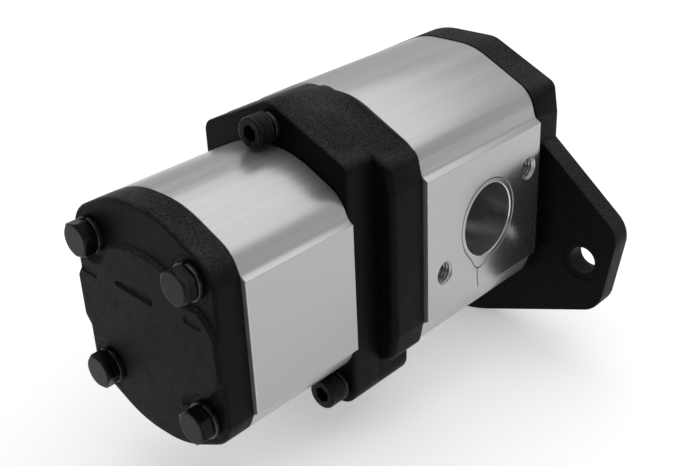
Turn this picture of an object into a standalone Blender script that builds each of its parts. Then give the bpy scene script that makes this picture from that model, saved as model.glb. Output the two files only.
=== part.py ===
"""Tandem hydraulic gear pump: a large and a small section on one shaft line.

The shaft line is the Y axis, the mounting face lies at Y = 0 and the pump runs towards -Y.
+X is the inlet side, +Z is up.
"""
from math import acos, asin, atan2, ceil, cos, pi, radians, sin, sqrt, tan

import bmesh
import bpy
import numpy as np

MM = 0.001

# Clearances
JOINT_GAP = 0.3 * MM
RUNNING_GAP = 0.4 * MM

# Lengths of the stacked pieces, front to rear
FLANGE_LENGTH = 16.1 * MM
FRONT_BODY_LENGTH = 78.3 * MM
END_COVER_LENGTH = 18.0 * MM
REAR_FLANGE_LENGTH = 15.0 * MM
REAR_BODY_LENGTH = 54.6 * MM
REAR_COVER_LENGTH = 12.1 * MM

# Gears
TOOTH_COUNT = 12
PRESSURE_ANGLE = radians(24)
BACKLASH = 0.2 * MM
FRONT_SHAFT_SPACING = 38.0 * MM
FRONT_FACE_WIDTH = 36.0 * MM
FRONT_JOURNAL_RADIUS = 12.0 * MM
REAR_SHAFT_SPACING = 32.0 * MM
REAR_FACE_WIDTH = 20.0 * MM
REAR_JOURNAL_RADIUS = 9.5 * MM
BUSH_WALL = 2.2 * MM

# Bodies: height above the mid-line, half width over the pads, setback of the sides behind the pads
FRONT_HALF_HEIGHT = 59.5 * MM
FRONT_PAD_HALF_WIDTH = 50.8 * MM
FRONT_PAD_HALF_HEIGHT = 31.6 * MM
FRONT_PAD_SETBACK = 2.8 * MM
REAR_HALF_HEIGHT = 49.5 * MM
REAR_PAD_HALF_WIDTH = 42.4 * MM
REAR_PAD_HALF_HEIGHT = 27.6 * MM
REAR_PAD_SETBACK = 2.4 * MM
FRONT_CROWN_X = 14.0 * MM
REAR_CROWN_X = 12.5 * MM
CROWN_SLOPE = radians(26.6)
CROWN_FILL = 0.85
SHOULDER_SETBACK = 3.4 * MM
SHOULDER_CORNER_RADIUS = 7.0 * MM
CAST_EDGE = 2.0 * MM

# Mounting flange: two bolts, round pilot, turned about the shaft
FLANGE_TILT = radians(10)
FLANGE_PLATE = 11.0 * MM
FLANGE_PLATE_EDGE = 0.7 * MM
FLANGE_HALF_WIDTH = 87.0 * MM
FLANGE_HUB_RADIUS = 61.3 * MM
FLANGE_EDGE_SLOPE = radians(30.3)
FLANGE_CORNER_RADIUS = 13.0 * MM
FLANGE_BOLT_SPACING = 146.0 * MM
FLANGE_BOLT_HOLE_RADIUS = 6.5 * MM
FLANGE_SPOT_RADIUS = 10.0 * MM
FLANGE_SPOT_DEPTH = 0.5 * MM
PILOT_RADIUS = 50.8 * MM
PILOT_LENGTH = 9.7 * MM
PILOT_CHAMFER = 1.2 * MM
COVER_OVERSIZE = 0.8 * MM

# Shaft end, key and seal
SHAFT_END_RADIUS = 11.11 * MM
SHAFT_END_LENGTH = 41.2 * MM
SHAFT_CHAMFER = 1.5 * MM
KEY_WIDTH = 6.35 * MM
KEY_LENGTH = 25.0 * MM
KEYWAY_DEPTH = 3.5 * MM
KEY_END_MARGIN = 3.0 * MM
SEAL_RADIUS = 20.0 * MM
SEAL_LENGTH = 8.0 * MM
SEAL_SEAT = -2.0 * MM
SEAL_LIP = 0.9 * MM
RING_THICKNESS = 1.5 * MM
RING_DEPTH = 1.3 * MM
RING_WIDTH = 3.2 * MM
RING_OPENING = radians(36)

# Coupling between the two drive shafts
SPLINE_STEP = 1.0 * MM
SPLINE_RADIUS = REAR_JOURNAL_RADIUS - SPLINE_STEP
SPLINE_DEPTH = 1.5 * MM
SPLINE_TEETH = 8
SPLINE_LENGTH = 12.0 * MM
SLEEVE_WALL = 4.0 * MM
SLEEVE_LENGTH = 28.0 * MM

# Middle block: three lugs round the small body hold it on the large section
TOP_LUG_RISE = 7.5 * MM
TOP_LUG_RADIUS = 9.5 * MM
TOP_LUG_DRAFT = 2.9 * MM
SHOULDER_X = 33.6 * MM
SHOULDER_DROP = 3.9 * MM
SHOULDER_RADIUS = 5.8 * MM
LOW_LUG_X = 30.3 * MM
LOW_LUG_DROP = 0.0 * MM
LOW_LUG_RADIUS = 9.0 * MM

# Ports
INLET_RADIUS = 16.0 * MM
INLET_OFFSET = 1.4 * MM
INLET_BOLT_ALONG = 29.4 * MM
INLET_BOLT_UP = 13.0 * MM
OUTLET_RADIUS = 12.5 * MM
OUTLET_BOLT_ALONG = 26.2 * MM
OUTLET_BOLT_UP = 13.1 * MM
REAR_OUTLET_RADIUS = 12.0 * MM
REAR_OUTLET_THROAT = 8.0 * MM
REAR_OUTLET_DEPTH = 15.0 * MM
PORT_CHAMFER = 0.8 * MM
PORT_BOLT_RADIUS = 5.0 * MM
PORT_BOLT_DEPTH = 20.0 * MM
FRONT_PASSAGE_X = 34.0 * MM
FRONT_PASSAGE_RADIUS = 8.0 * MM
REAR_PASSAGE_X = 28.5 * MM
REAR_PASSAGE_RADIUS = 6.0 * MM

# Rear cover: its middle is raised between two arches, and each bolt has a round spot face
ARCH_RADIUS = 46.0 * MM
ARCH_UP = 31.0 * MM
MIDDLE_RISE = 1.7 * MM
COVER_SPOT_RADIUS = 9.0 * MM
COVER_SPOT_DEPTH = 0.3 * MM

# Fasteners: places from each section's mid-line
COVER_BOLT_X = 28.0 * MM
COVER_BOLT_UP = 29.0 * MM
COVER_BOLT_RADIUS = 4.0 * MM
HEX_ACROSS_FLATS = 13.0 * MM
HEX_HEIGHT = 5.3 * MM
WASHER_RADIUS = 7.4 * MM
WASHER_THICKNESS = 2.0 * MM
WASHER_SPLIT = radians(11)
PLATE_SCREW_RADIUS = 4.0 * MM
PLATE_SCREW_WASHER = 1.8 * MM
BODY_SCREW_X = 33.0 * MM
BODY_SCREW_UP = 37.0 * MM
BODY_SCREW_RADIUS = 5.0 * MM
BODY_SCREW_SEAT = -10.4 * MM
HOLE_CLEARANCE = 0.5 * MM
THREAD_REACH = 12.0 * MM
SOCKET_HEAD_FACTOR = 1.6
SOCKET_KEY_FACTOR = 0.75
DOWEL_LENGTH = 14.0 * MM
FRONT_DOWEL_X = 24.0 * MM
FRONT_DOWEL_UP = 46.0 * MM
FRONT_DOWEL_RADIUS = 3.0 * MM
REAR_DOWEL_X = 20.0 * MM
REAR_DOWEL_UP = 38.0 * MM
REAR_DOWEL_RADIUS = 2.5 * MM

# Seals between the stacked pieces and on the bearing blocks
BODY_SEAL_WIDTH = 2.4 * MM
BODY_SEAL_DEPTH = 1.8 * MM
FRONT_BODY_SEAL_OFFSET = 4.0 * MM
REAR_BODY_SEAL_OFFSET = 3.0 * MM
PRESSURE_SEAL_SHARE = 0.3
PRESSURE_SEAL_DEPTH = 2.0 * MM
PRESSURE_SEAL_END = radians(25)
INTERFACE_SEAL_MARGIN = 3.0 * MM

# Facets
ROUND_STEPS = 16
SMALL_STEPS = 12
HOLE_STEPS = 12
CHAMBER_STEPS = 16
SEAL_STEPS = 6
ARC_TOLERANCE = 0.28 * MM
FLANK_STEPS = 3
SHARP_ANGLE = radians(32)
OVERCUT = 1.0 * MM
WELD_DISTANCE = 0.000001

MATERIALS = {
    "cast_black": ((0.015, 0.015, 0.016, 1), 0.55, 0.6),
    "aluminium": ((0.78, 0.79, 0.80, 1), 0.32, 1.0),
    "black_oxide": ((0.028, 0.025, 0.023, 1), 0.42, 0.8),
    "gear_steel": ((0.42, 0.42, 0.43, 1), 0.25, 1.0),
    "bearing_metal": ((0.62, 0.60, 0.56, 1), 0.35, 1.0),
    "bronze": ((0.55, 0.36, 0.16, 1), 0.35, 1.0),
    "seal_rubber": ((0.02, 0.02, 0.02, 1), 0.75, 0.0),
    "seal_red": ((0.24, 0.05, 0.03, 1), 0.6, 0.0),
}


class Section:
    """One pumping section: where it starts, how long it is and what its gears need."""

    def __init__(self, tag, front, length, spacing, face_width, journal):
        self.tag = tag
        self.front = front
        self.rear = front - length
        self.middle = front - length / 2
        self.spacing = spacing
        self.centre_z = spacing / 2
        self.face_width = face_width
        self.journal = journal
        self.module = spacing / TOOTH_COUNT
        self.tip = spacing / 2 + 0.94 * self.module
        self.chamber = self.tip + RUNNING_GAP
        self.block = self.chamber - JOINT_GAP
        self.bush_inner = (journal + RUNNING_GAP) / cos(pi / ROUND_STEPS)
        self.bush_outer = self.bush_inner + BUSH_WALL
        self.seal_width = PRESSURE_SEAL_SHARE * (self.block - self.bush_outer)
        self.gear_front = self.middle + face_width / 2
        self.gear_rear = self.middle - face_width / 2

    def axes(self):
        """Heights of the drive and the driven shaft."""
        return {"drive": 0.0, "driven": self.spacing}

    def blocks(self):
        """Y range of the bearing block at each end of the gears, outer face first."""
        fore = (self.front - JOINT_GAP, self.gear_front + JOINT_GAP)
        aft = (self.rear + JOINT_GAP, self.gear_rear - JOINT_GAP)
        return {"fore": fore, "aft": aft}


FRONT_START = -FLANGE_LENGTH - JOINT_GAP
END_COVER_START = FRONT_START - FRONT_BODY_LENGTH - JOINT_GAP
REAR_FLANGE_START = END_COVER_START - END_COVER_LENGTH - JOINT_GAP
REAR_START = REAR_FLANGE_START - REAR_FLANGE_LENGTH - JOINT_GAP
REAR_COVER_START = REAR_START - REAR_BODY_LENGTH - JOINT_GAP
REAR_FACE = REAR_COVER_START - REAR_COVER_LENGTH
MIDDLE_FACE = REAR_FACE - MIDDLE_RISE
BOLT_SEAT = REAR_FACE + COVER_SPOT_DEPTH

FRONT = Section("front", FRONT_START, FRONT_BODY_LENGTH, FRONT_SHAFT_SPACING,
                FRONT_FACE_WIDTH, FRONT_JOURNAL_RADIUS)
REAR = Section("rear", REAR_START, REAR_BODY_LENGTH, REAR_SHAFT_SPACING,
               REAR_FACE_WIDTH, REAR_JOURNAL_RADIUS)

TOP_LUG_HEIGHT = REAR.centre_z + REAR_HALF_HEIGHT + TOP_LUG_RISE
SHOULDER_HEIGHT = REAR.centre_z + REAR_HALF_HEIGHT - SHOULDER_DROP
LOW_LUG_HEIGHT = REAR.centre_z - REAR_HALF_HEIGHT - LOW_LUG_DROP


# Outlines: closed rows of points in a plane, counter-clockwise

def circle(radius, steps=ROUND_STEPS, centre=(0.0, 0.0), phase=0.0):
    angles = np.arange(steps) * 2 * pi / steps + phase
    return np.column_stack([centre[0] + radius * np.cos(angles), centre[1] + radius * np.sin(angles)])


def arc(centre, radius, start, end, steps):
    angles = np.linspace(start, end, steps + 1)
    return np.column_stack([centre[0] + radius * np.cos(angles), centre[1] + radius * np.sin(angles)])


def arc_steps(radius, sweep):
    """Fewest chords that keep an arc within the tolerance."""
    return max(2, ceil(abs(sweep) / (2 * acos(1 - ARC_TOLERANCE / radius))))


def rounded_outline(corners):
    """Polygon whose corners (u, v, radius) are filled with tangent arcs."""
    places = np.array([corner[:2] for corner in corners])
    rows = []
    for index, corner in enumerate(corners):
        here = places[index]
        back = places[index - 1] - here
        ahead = places[(index + 1) % len(places)] - here
        back /= np.linalg.norm(back)
        ahead /= np.linalg.norm(ahead)
        half = acos(np.clip(back @ ahead, -1, 1)) / 2
        radius = corner[2]
        if radius == 0 or half > radians(89):
            rows.append(here[None, :])
            continue
        inward = (back + ahead) / np.linalg.norm(back + ahead)
        centre = here + inward * radius / sin(half)
        start = here + back * radius / tan(half) - centre
        end = here + ahead * radius / tan(half) - centre
        first = atan2(start[1], start[0])
        sweep = (atan2(end[1], end[0]) - first + pi) % (2 * pi) - pi
        rows.append(arc(centre, radius, first, first + sweep, arc_steps(radius, sweep)))
    return np.vstack(rows)


def both_ways(quarter, centre_z):
    """Full outline from the corners of its upper right quarter, listed from the side to the top."""
    left = [(-x, z, r) for x, z, r in reversed(quarter)]
    upper = quarter + left
    lower = [(-x, -z, r) for x, z, r in upper]
    return rounded_outline([(x, z + centre_z, r) for x, z, r in upper + lower])


def body_quarter(half_height, crown_x, pad_half_width, pad_half_height, setback, with_pad):
    """Crown, sloping shoulder and side of a body or of the cover that lies on it."""
    side = pad_half_width - setback
    shoulder_x = side - SHOULDER_SETBACK
    shoulder_z = half_height - (shoulder_x - crown_x) * tan(CROWN_SLOPE)
    crown_radius = CROWN_FILL * crown_x / tan(CROWN_SLOPE / 2)
    corners = [(side, pad_half_height + setback, 0.0),
               (shoulder_x, shoulder_z, SHOULDER_CORNER_RADIUS),
               (crown_x, half_height, crown_radius)]
    if with_pad:
        corners.insert(0, (pad_half_width, pad_half_height, 0.0))
    return corners


def front_outline(with_pad, grow=0.0):
    quarter = body_quarter(FRONT_HALF_HEIGHT + grow, FRONT_CROWN_X, FRONT_PAD_HALF_WIDTH + grow,
                           FRONT_PAD_HALF_HEIGHT, FRONT_PAD_SETBACK, with_pad)
    return both_ways(quarter, FRONT.centre_z)


def rear_outline(with_pad, grow=0.0):
    quarter = body_quarter(REAR_HALF_HEIGHT + grow, REAR_CROWN_X, REAR_PAD_HALF_WIDTH + grow,
                           REAR_PAD_HALF_HEIGHT, REAR_PAD_SETBACK, with_pad)
    return both_ways(quarter, REAR.centre_z)


def flange_outline(shrink=0.0):
    """Two-bolt flange: a round hub with straight sides to square noses, turned about the shaft."""
    half_width = FLANGE_HALF_WIDTH - shrink
    hub = FLANGE_HUB_RADIUS - shrink
    apex = hub / cos(FLANGE_EDGE_SLOPE)
    nose = apex - half_width * tan(FLANGE_EDGE_SLOPE)
    corner = FLANGE_CORNER_RADIUS - shrink
    right = [(half_width, -nose, corner), (half_width, nose, corner), (0.0, apex, hub)]
    left = [(-u, -v, r) for u, v, r in right]
    points = rounded_outline(right + left)
    turn = np.array([[cos(FLANGE_TILT), -sin(FLANGE_TILT)], [sin(FLANGE_TILT), cos(FLANGE_TILT)]])
    return points @ turn


def lug_outline(top_drop=0.0):
    """Middle block: a top lug, sloping shoulders, straight sides and two low lugs."""
    low = (LOW_LUG_X, LOW_LUG_HEIGHT, LOW_LUG_RADIUS)
    shoulder = (SHOULDER_X, SHOULDER_HEIGHT, SHOULDER_RADIUS)
    top = (0.0, TOP_LUG_HEIGHT - top_drop, TOP_LUG_RADIUS)
    right = [low, shoulder, top]
    left = [(-x, z, r) for x, z, r in (shoulder, low)]
    return wrapped_circles(right + left)


def wrapped_circles(circles):
    """Outline of a belt around circles (u, v, radius) listed counter-clockwise."""
    starts = []
    for index, here in enumerate(circles):
        ahead = circles[(index + 1) % len(circles)]
        along = np.subtract(ahead[:2], here[:2])
        lean = acos((here[2] - ahead[2]) / np.linalg.norm(along))
        starts.append(atan2(along[1], along[0]) - lean)
    rows = []
    for index, here in enumerate(circles):
        first = starts[index - 1]
        sweep = (starts[index] - first) % (2 * pi)
        rows.append(arc(here[:2], here[2], first, first + sweep, arc_steps(here[2], sweep)))
    return np.vstack(rows)


def figure_eight(radius, spacing):
    """Outline of two equal round bores that run into each other."""
    waist = acos(spacing / 2 / radius)
    upper = arc((0.0, spacing), radius, waist - pi / 2, 3 * pi / 2 - waist, CHAMBER_STEPS)
    lower = arc((0.0, 0.0), radius, pi / 2 + waist, 5 * pi / 2 - waist, CHAMBER_STEPS)
    return np.vstack([upper[:-1], lower[:-1]])


def race_track(radius, spacing):
    """Outline of a slot with round ends about both shafts."""
    upper = arc((0.0, spacing), radius, 0.0, pi, SEAL_STEPS)
    lower = arc((0.0, 0.0), radius, pi, 2 * pi, SEAL_STEPS)
    return np.vstack([upper, lower])


def three_path(section):
    """Middle line of the pressure seal: round both bushes on the outlet side, pinched between them."""
    radius = (section.bush_outer + section.block) / 2
    waist = sqrt(section.block ** 2 - (section.spacing / 2) ** 2)
    pinch = asin((waist - section.seal_width) / radius)
    end = PRESSURE_SEAL_END
    steps = SEAL_STEPS
    lower = arc((0.0, 0.0), radius, 3 * pi / 2 + end, pi / 2 + pinch, steps)
    upper = arc((0.0, section.spacing), radius, 3 * pi / 2 - pinch, pi / 2 - end, steps)
    return np.vstack([lower, upper])


def arches(centre):
    """Lens between two wide arches, one over the centre and one under it."""
    lift = np.array([0.0, ARCH_RADIUS - ARCH_UP])
    spring = asin(lift[1] / ARCH_RADIUS)
    steps = arc_steps(ARCH_RADIUS, pi - 2 * spring)
    upper = arc(centre - lift, ARCH_RADIUS, spring, pi - spring, steps)
    lower = arc(centre + lift, ARCH_RADIUS, pi + spring, 2 * pi - spring, steps)
    return np.vstack([upper[:-1], lower[:-1]])


def strip(path, width):
    """Closed outline of an open path with a width."""
    along = np.gradient(path, axis=0)
    along /= np.linalg.norm(along, axis=1)[:, None]
    across = np.column_stack([-along[:, 1], along[:, 0]]) * width / 2
    return np.vstack([path - across, (path + across)[::-1]])


def ray_lengths(outline, centre, angles):
    """Distance from the centre to the outline in each direction."""
    start = outline - centre
    edge = np.roll(start, -1, axis=0) - start
    direction = np.column_stack([np.cos(angles), np.sin(angles)])
    cross = direction[:, :1] * edge[:, 1] - direction[:, 1:] * edge[:, 0]
    cross = np.where(np.abs(cross) < 1e-15, 1e-15, cross)
    reach = (start[:, 0] * edge[:, 1] - start[:, 1] * edge[:, 0]) / cross
    share = (start[:, 0] * direction[:, 1:] - start[:, 1] * direction[:, :1]) / cross
    on_edge = (share > -1e-9) & (share < 1 + 1e-9) & (reach > 0)
    return np.where(on_edge, reach, 0.0).max(axis=1)


def crossing_angles(first, second, centre):
    """Directions in which two outlines are equally far from the centre."""
    angles = np.linspace(-pi, pi, 7200)
    lead = ray_lengths(first, centre, angles) - ray_lengths(second, centre, angles)
    turns = np.flatnonzero(lead[:-1] * lead[1:] < 0)
    share = lead[turns] / (lead[turns] - lead[turns + 1])
    return angles[turns] + share * (angles[turns + 1] - angles[turns])


def outline_angles(outlines, centre):
    """Directions of every corner and crossing of one or two outlines, each once."""
    points = np.vstack(outlines) - centre
    angles = np.arctan2(points[:, 1], points[:, 0])
    crossings = crossing_angles(outlines[0], outlines[-1], centre)
    angles = np.sort(np.append(angles, crossings))
    keep = np.append(True, np.diff(angles) > 2e-3)
    return angles[keep]


def joined(outlines, centre, angles, farthest=np.max):
    """Outer hull of outlines that can all be seen whole from the centre; with np.min, what they share."""
    reach = farthest([ray_lengths(outline, centre, angles) for outline in outlines], axis=0)
    return centre + reach[:, None] * np.column_stack([np.cos(angles), np.sin(angles)])


def gear_outline(section, phase):
    """Involute teeth with straight roots below the base circle."""
    pitch = section.spacing / 2
    base = pitch * cos(PRESSURE_ANGLE)
    root = pitch - 1.12 * section.module
    half_tooth = pi / (2 * TOOTH_COUNT) - BACKLASH / (2 * pitch)
    radii = np.linspace(base, section.tip, FLANK_STEPS)
    pressure = np.arccos(base / radii)
    lean = half_tooth + tan(PRESSURE_ANGLE) - PRESSURE_ANGLE - (np.tan(pressure) - pressure)
    flank_radii = np.concatenate([[root], radii])
    flank_lean = np.concatenate([[lean[0]], lean])
    reach = np.concatenate([flank_radii, flank_radii[::-1]])
    swing = np.concatenate([-flank_lean, flank_lean[::-1]])
    teeth = phase + np.arange(TOOTH_COUNT) * 2 * pi / TOOTH_COUNT
    angles = (teeth[:, None] + swing[None, :]).ravel()
    reach = np.tile(reach, TOOTH_COUNT)
    return np.column_stack([reach * np.cos(angles), reach * np.sin(angles)])


def spline_outline(grow=0.0):
    """Tapered splines, grown all round for the bore that takes them."""
    step = 2 * pi / SPLINE_TEETH
    tip = SPLINE_RADIUS + grow
    root = tip - SPLINE_DEPTH
    slack = grow / SPLINE_RADIUS
    swing = np.array([-0.28 * step - slack, -0.22 * step - slack, 0.22 * step + slack, 0.28 * step + slack])
    reach = np.array([root, tip, tip, root])
    angles = (np.arange(SPLINE_TEETH)[:, None] * step + swing[None, :]).ravel()
    reach = np.tile(reach, SPLINE_TEETH)
    return np.column_stack([reach * np.cos(angles), reach * np.sin(angles)])


def split_ring(outer, inner, opening, steps):
    """C-shaped outline whose opening points up."""
    start = pi / 2 + opening / 2
    end = 5 * pi / 2 - opening / 2
    return np.vstack([arc((0, 0), outer, start, end, steps), arc((0, 0), inner, end, start, steps)])


# Solids: rings of points joined into skins

def along_y(outline, y, shift=(0.0, 0.0)):
    """Outline (x, z) placed at a depth y, which may differ from point to point."""
    depth = np.broadcast_to(y, len(outline))
    return np.column_stack([outline[:, 0] + shift[0], depth, outline[:, 1] + shift[1]])


def along_x(outline, x):
    """Outline (y, z) placed at a width x."""
    return np.column_stack([np.full(len(outline), x), outline])


def along_z(outline, z):
    """Outline (x, y) placed at a height z."""
    return np.column_stack([outline, np.full(len(outline), z)])


def skin(name, rings, origin=(0.0, 0.0, 0.0), closed=False):
    """Object whose rings of equal length are joined in order, with capped ends unless closed."""
    shape = bmesh.new()
    rows = [[shape.verts.new(point - np.array(origin)) for point in ring] for ring in rings]
    pairs = list(zip(rows, rows[1:]))
    if closed:
        pairs.append((rows[-1], rows[0]))
    count = len(rows[0])
    for near, far in pairs:
        for index in range(count):
            after = (index + 1) % count
            shape.faces.new((near[index], near[after], far[after], far[index]))
    if not closed:
        shape.faces.new(rows[0][::-1])
        shape.faces.new(rows[-1])
    bmesh.ops.remove_doubles(shape, verts=shape.verts, dist=WELD_DISTANCE)
    bmesh.ops.recalc_face_normals(shape, faces=shape.faces)
    mesh = bpy.data.meshes.new(name)
    shape.to_mesh(mesh)
    shape.free()
    thing = bpy.data.objects.new(name, mesh)
    thing.location = origin
    bpy.context.scene.collection.objects.link(thing)
    return thing


def prism(name, outline, start, end, place=along_y, origin=(0.0, 0.0, 0.0)):
    return skin(name, [place(outline, start), place(outline, end)], origin)


def hoop(name, outer, inner, start, end, shift=(0.0, 0.0)):
    """Ring with a straight wall between two outlines of equal length."""
    rings = [along_y(outer, start, shift), along_y(outer, end, shift),
             along_y(inner, end, shift), along_y(inner, start, shift)]
    return skin(name, rings, closed=True)


def turned(name, profile, height=0.0, steps=ROUND_STEPS, origin=(0.0, 0.0, 0.0), closed=False):
    """Solid turned about a line along Y: the profile holds (radius, y) pairs."""
    rings = [along_y(circle(radius, steps), y, (0.0, height)) for radius, y in profile]
    return skin(name, rings, origin, closed)


def side_bore(name, profile, centre, steps=ROUND_STEPS):
    """Cutter turned about a line along X: the profile holds (radius, x) pairs."""
    return skin(name, [along_x(circle(radius, steps, centre), x) for radius, x in profile])


def drill(radius, start, end, place, steps=HOLE_STEPS):
    """Cutter for a round hole along Y at a place (x, z)."""
    return prism("drill", circle(radius, steps, place), start, end)


def combine(target, others, operation):
    """Cut the others out of the target, or join them to it, and drop them."""
    for other in others:
        modifier = target.modifiers.new("shape", "BOOLEAN")
        modifier.operation = operation
        modifier.solver = "EXACT"
        modifier.object = other
    bpy.context.view_layer.update()
    shaped = target.evaluated_get(bpy.context.evaluated_depsgraph_get())
    mesh = bpy.data.meshes.new_from_object(shaped)
    target.modifiers.clear()
    target.data = mesh
    for other in others:
        bpy.data.objects.remove(other)


def cut(target, *cutters):
    combine(target, cutters, "DIFFERENCE")


def join(target, *others):
    combine(target, others, "UNION")


def material(name):
    found = bpy.data.materials.get(name)
    if found:
        return found
    colour, roughness, metallic = MATERIALS[name]
    made = bpy.data.materials.new(name)
    made.use_nodes = True
    shader = made.node_tree.nodes["Principled BSDF"]
    shader.inputs["Base Color"].default_value = colour
    shader.inputs["Roughness"].default_value = roughness
    shader.inputs["Metallic"].default_value = metallic
    return made


def finish(thing, surface):
    """Give a piece its material and smooth its round faces."""
    thing.data.materials.clear()
    thing.data.materials.append(material(surface))
    thing.data.shade_smooth()
    thing.data.set_sharp_from_angle(angle=SHARP_ANGLE)


# Places shared by several pieces

def four_places(x, up, section):
    """Four places mirrored about the section's middle."""
    return [(side * x, section.centre_z + level * up) for level in (1, -1) for side in (-1, 1)]


def dowel_places(x, up, section):
    return [(-x, section.centre_z + up), (x, section.centre_z - up)]


COVER_BOLT_PLACES = four_places(COVER_BOLT_X, COVER_BOLT_UP, REAR)
BODY_SCREW_PLACES = four_places(BODY_SCREW_X, BODY_SCREW_UP, FRONT)
FRONT_DOWEL_PLACES = dowel_places(FRONT_DOWEL_X, FRONT_DOWEL_UP, FRONT)
REAR_DOWEL_PLACES = dowel_places(REAR_DOWEL_X, REAR_DOWEL_UP, REAR)
PLATE_SCREW_PLACES = {"top": (0.0, TOP_LUG_HEIGHT),
                      "left": (-LOW_LUG_X, LOW_LUG_HEIGHT),
                      "right": (LOW_LUG_X, LOW_LUG_HEIGHT)}
INLET_Y = FRONT.middle + INLET_OFFSET
SLEEVE_RADIUS = SPLINE_RADIUS + SLEEVE_WALL
SLEEVE_MIDDLE = (FRONT.rear + REAR.front) / 2
COUPLING_BORE = (SLEEVE_RADIUS + RUNNING_GAP) / cos(pi / ROUND_STEPS)


def body_seal_track(section, offset):
    """Outer and inner edge of the seal round a section's gears."""
    outer = race_track(section.chamber + offset + BODY_SEAL_WIDTH, section.spacing)
    inner = race_track(section.chamber + offset, section.spacing)
    return outer, inner


def body_seal_groove(section, offset, face, depth):
    """Cutter for the seal's groove, sunk from a cover's face."""
    outer = race_track(section.chamber + offset + BODY_SEAL_WIDTH + JOINT_GAP, section.spacing)
    inner = race_track(section.chamber + offset - JOINT_GAP, section.spacing)
    direction = 1 if depth > 0 else -1
    return hoop("groove", outer, inner, face - direction * OVERCUT, face + depth + direction * JOINT_GAP)


def interface_seal_track():
    """Radii of the seal round the coupling bore, between the two halves of the middle block."""
    inner = COUPLING_BORE + INTERFACE_SEAL_MARGIN
    return inner + BODY_SEAL_WIDTH, inner


# Pieces

def mounting_flange():
    """Cast front cover: pilot, two-bolt plate, and a cover as wide as the body behind it."""
    centre = np.array([0.0, FRONT.centre_z / 2])
    cover = front_outline(False, COVER_OVERSIZE)
    plate = flange_outline()
    angles = outline_angles([cover, plate], centre)
    whole = joined([cover, plate], centre, angles)
    eased = joined([cover, flange_outline(FLANGE_PLATE_EDGE)], centre, angles)
    cover_ring = joined([cover], centre, angles)
    rings = [along_y(whole, 0.0), along_y(whole, FLANGE_PLATE_EDGE - FLANGE_PLATE),
             along_y(eased, -FLANGE_PLATE), along_y(cover_ring, -FLANGE_PLATE),
             along_y(cover_ring, -FLANGE_LENGTH)]
    piece = skin("mounting_flange", rings)
    pilot = [(PILOT_RADIUS, -OVERCUT), (PILOT_RADIUS, PILOT_LENGTH - PILOT_CHAMFER),
             (PILOT_RADIUS - PILOT_CHAMFER, PILOT_LENGTH)]
    join(piece, turned("pilot", pilot, steps=2 * ROUND_STEPS))
    ring_y = SEAL_SEAT + JOINT_GAP + SEAL_LENGTH + JOINT_GAP
    groove = (SEAL_RADIUS + RING_DEPTH) / cos(pi / ROUND_STEPS)
    groove_end = ring_y + RING_THICKNESS + 2 * JOINT_GAP
    shaft_bore = FRONT.bush_inner
    bore = [(SEAL_RADIUS, PILOT_LENGTH + OVERCUT), (SEAL_RADIUS, groove_end), (groove, groove_end),
            (groove, ring_y), (SEAL_RADIUS, ring_y), (SEAL_RADIUS, SEAL_SEAT),
            (shaft_bore, SEAL_SEAT), (shaft_bore, -FLANGE_LENGTH - OVERCUT)]
    cutters = [turned("bore", bore)]
    for side in (-1, 1):
        reach = side * FLANGE_BOLT_SPACING / 2
        place = (reach * cos(FLANGE_TILT), -reach * sin(FLANGE_TILT))
        cutters.append(drill(FLANGE_BOLT_HOLE_RADIUS, OVERCUT, -FLANGE_PLATE - OVERCUT, place))
        cutters.append(drill(FLANGE_SPOT_RADIUS, FLANGE_SPOT_DEPTH - FLANGE_PLATE,
                             -FLANGE_PLATE - OVERCUT, place))
    head = BODY_SCREW_RADIUS * SOCKET_HEAD_FACTOR + HOLE_CLEARANCE
    for place in BODY_SCREW_PLACES:
        cutters.append(drill(head, PILOT_LENGTH + OVERCUT, BODY_SCREW_SEAT, place))
        cutters.append(drill(BODY_SCREW_RADIUS + HOLE_CLEARANCE, PILOT_LENGTH,
                             -FLANGE_LENGTH - OVERCUT, place))
    for place in FRONT_DOWEL_PLACES:
        cutters.append(drill(FRONT_DOWEL_RADIUS + JOINT_GAP, -FLANGE_LENGTH - OVERCUT,
                             FRONT_START + DOWEL_LENGTH / 2 + JOINT_GAP, place))
    cutters.append(body_seal_groove(FRONT, FRONT_BODY_SEAL_OFFSET, -FLANGE_LENGTH, BODY_SEAL_DEPTH))
    cut(piece, *cutters)
    finish(piece, "cast_black")


def shaft_seal():
    """Lip seal pressed into the flange, its lip just clear of the shaft."""
    outer = SEAL_RADIUS - JOINT_GAP
    rear = SEAL_SEAT + JOINT_GAP
    front = rear + SEAL_LENGTH
    lip = FRONT.bush_inner
    waist = lip + SEAL_LIP
    profile = [(outer, rear), (outer, front), (waist, front), (lip, rear + 0.45 * SEAL_LENGTH),
               (waist, rear + 0.25 * SEAL_LENGTH), (waist + SEAL_LIP, rear)]
    finish(turned("shaft_seal", profile, closed=True), "seal_rubber")


def seal_retaining_ring():
    """Snap ring sprung into its groove in front of the seal."""
    outer = SEAL_RADIUS + RING_DEPTH - JOINT_GAP
    start = SEAL_SEAT + SEAL_LENGTH + 3 * JOINT_GAP
    shape = split_ring(outer, outer - RING_WIDTH, RING_OPENING, ROUND_STEPS)
    finish(prism("seal_retaining_ring", shape, start, start + RING_THICKNESS), "gear_steel")


def chamber_cutter(section):
    shape = figure_eight(section.chamber, section.spacing)
    return prism("chamber", shape, section.front + OVERCUT, section.rear - OVERCUT)


def threaded_hole(side, pad, place):
    """Cutter for a tapped hole in a side pad, with a chamfered mouth."""
    mouth = PORT_BOLT_RADIUS + PORT_CHAMFER
    profile = [(mouth + OVERCUT, side * (pad + OVERCUT)), (PORT_BOLT_RADIUS, side * (pad - PORT_CHAMFER)),
               (PORT_BOLT_RADIUS, side * (pad - PORT_BOLT_DEPTH))]
    return side_bore("tapped", profile, place, HOLE_STEPS)


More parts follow.
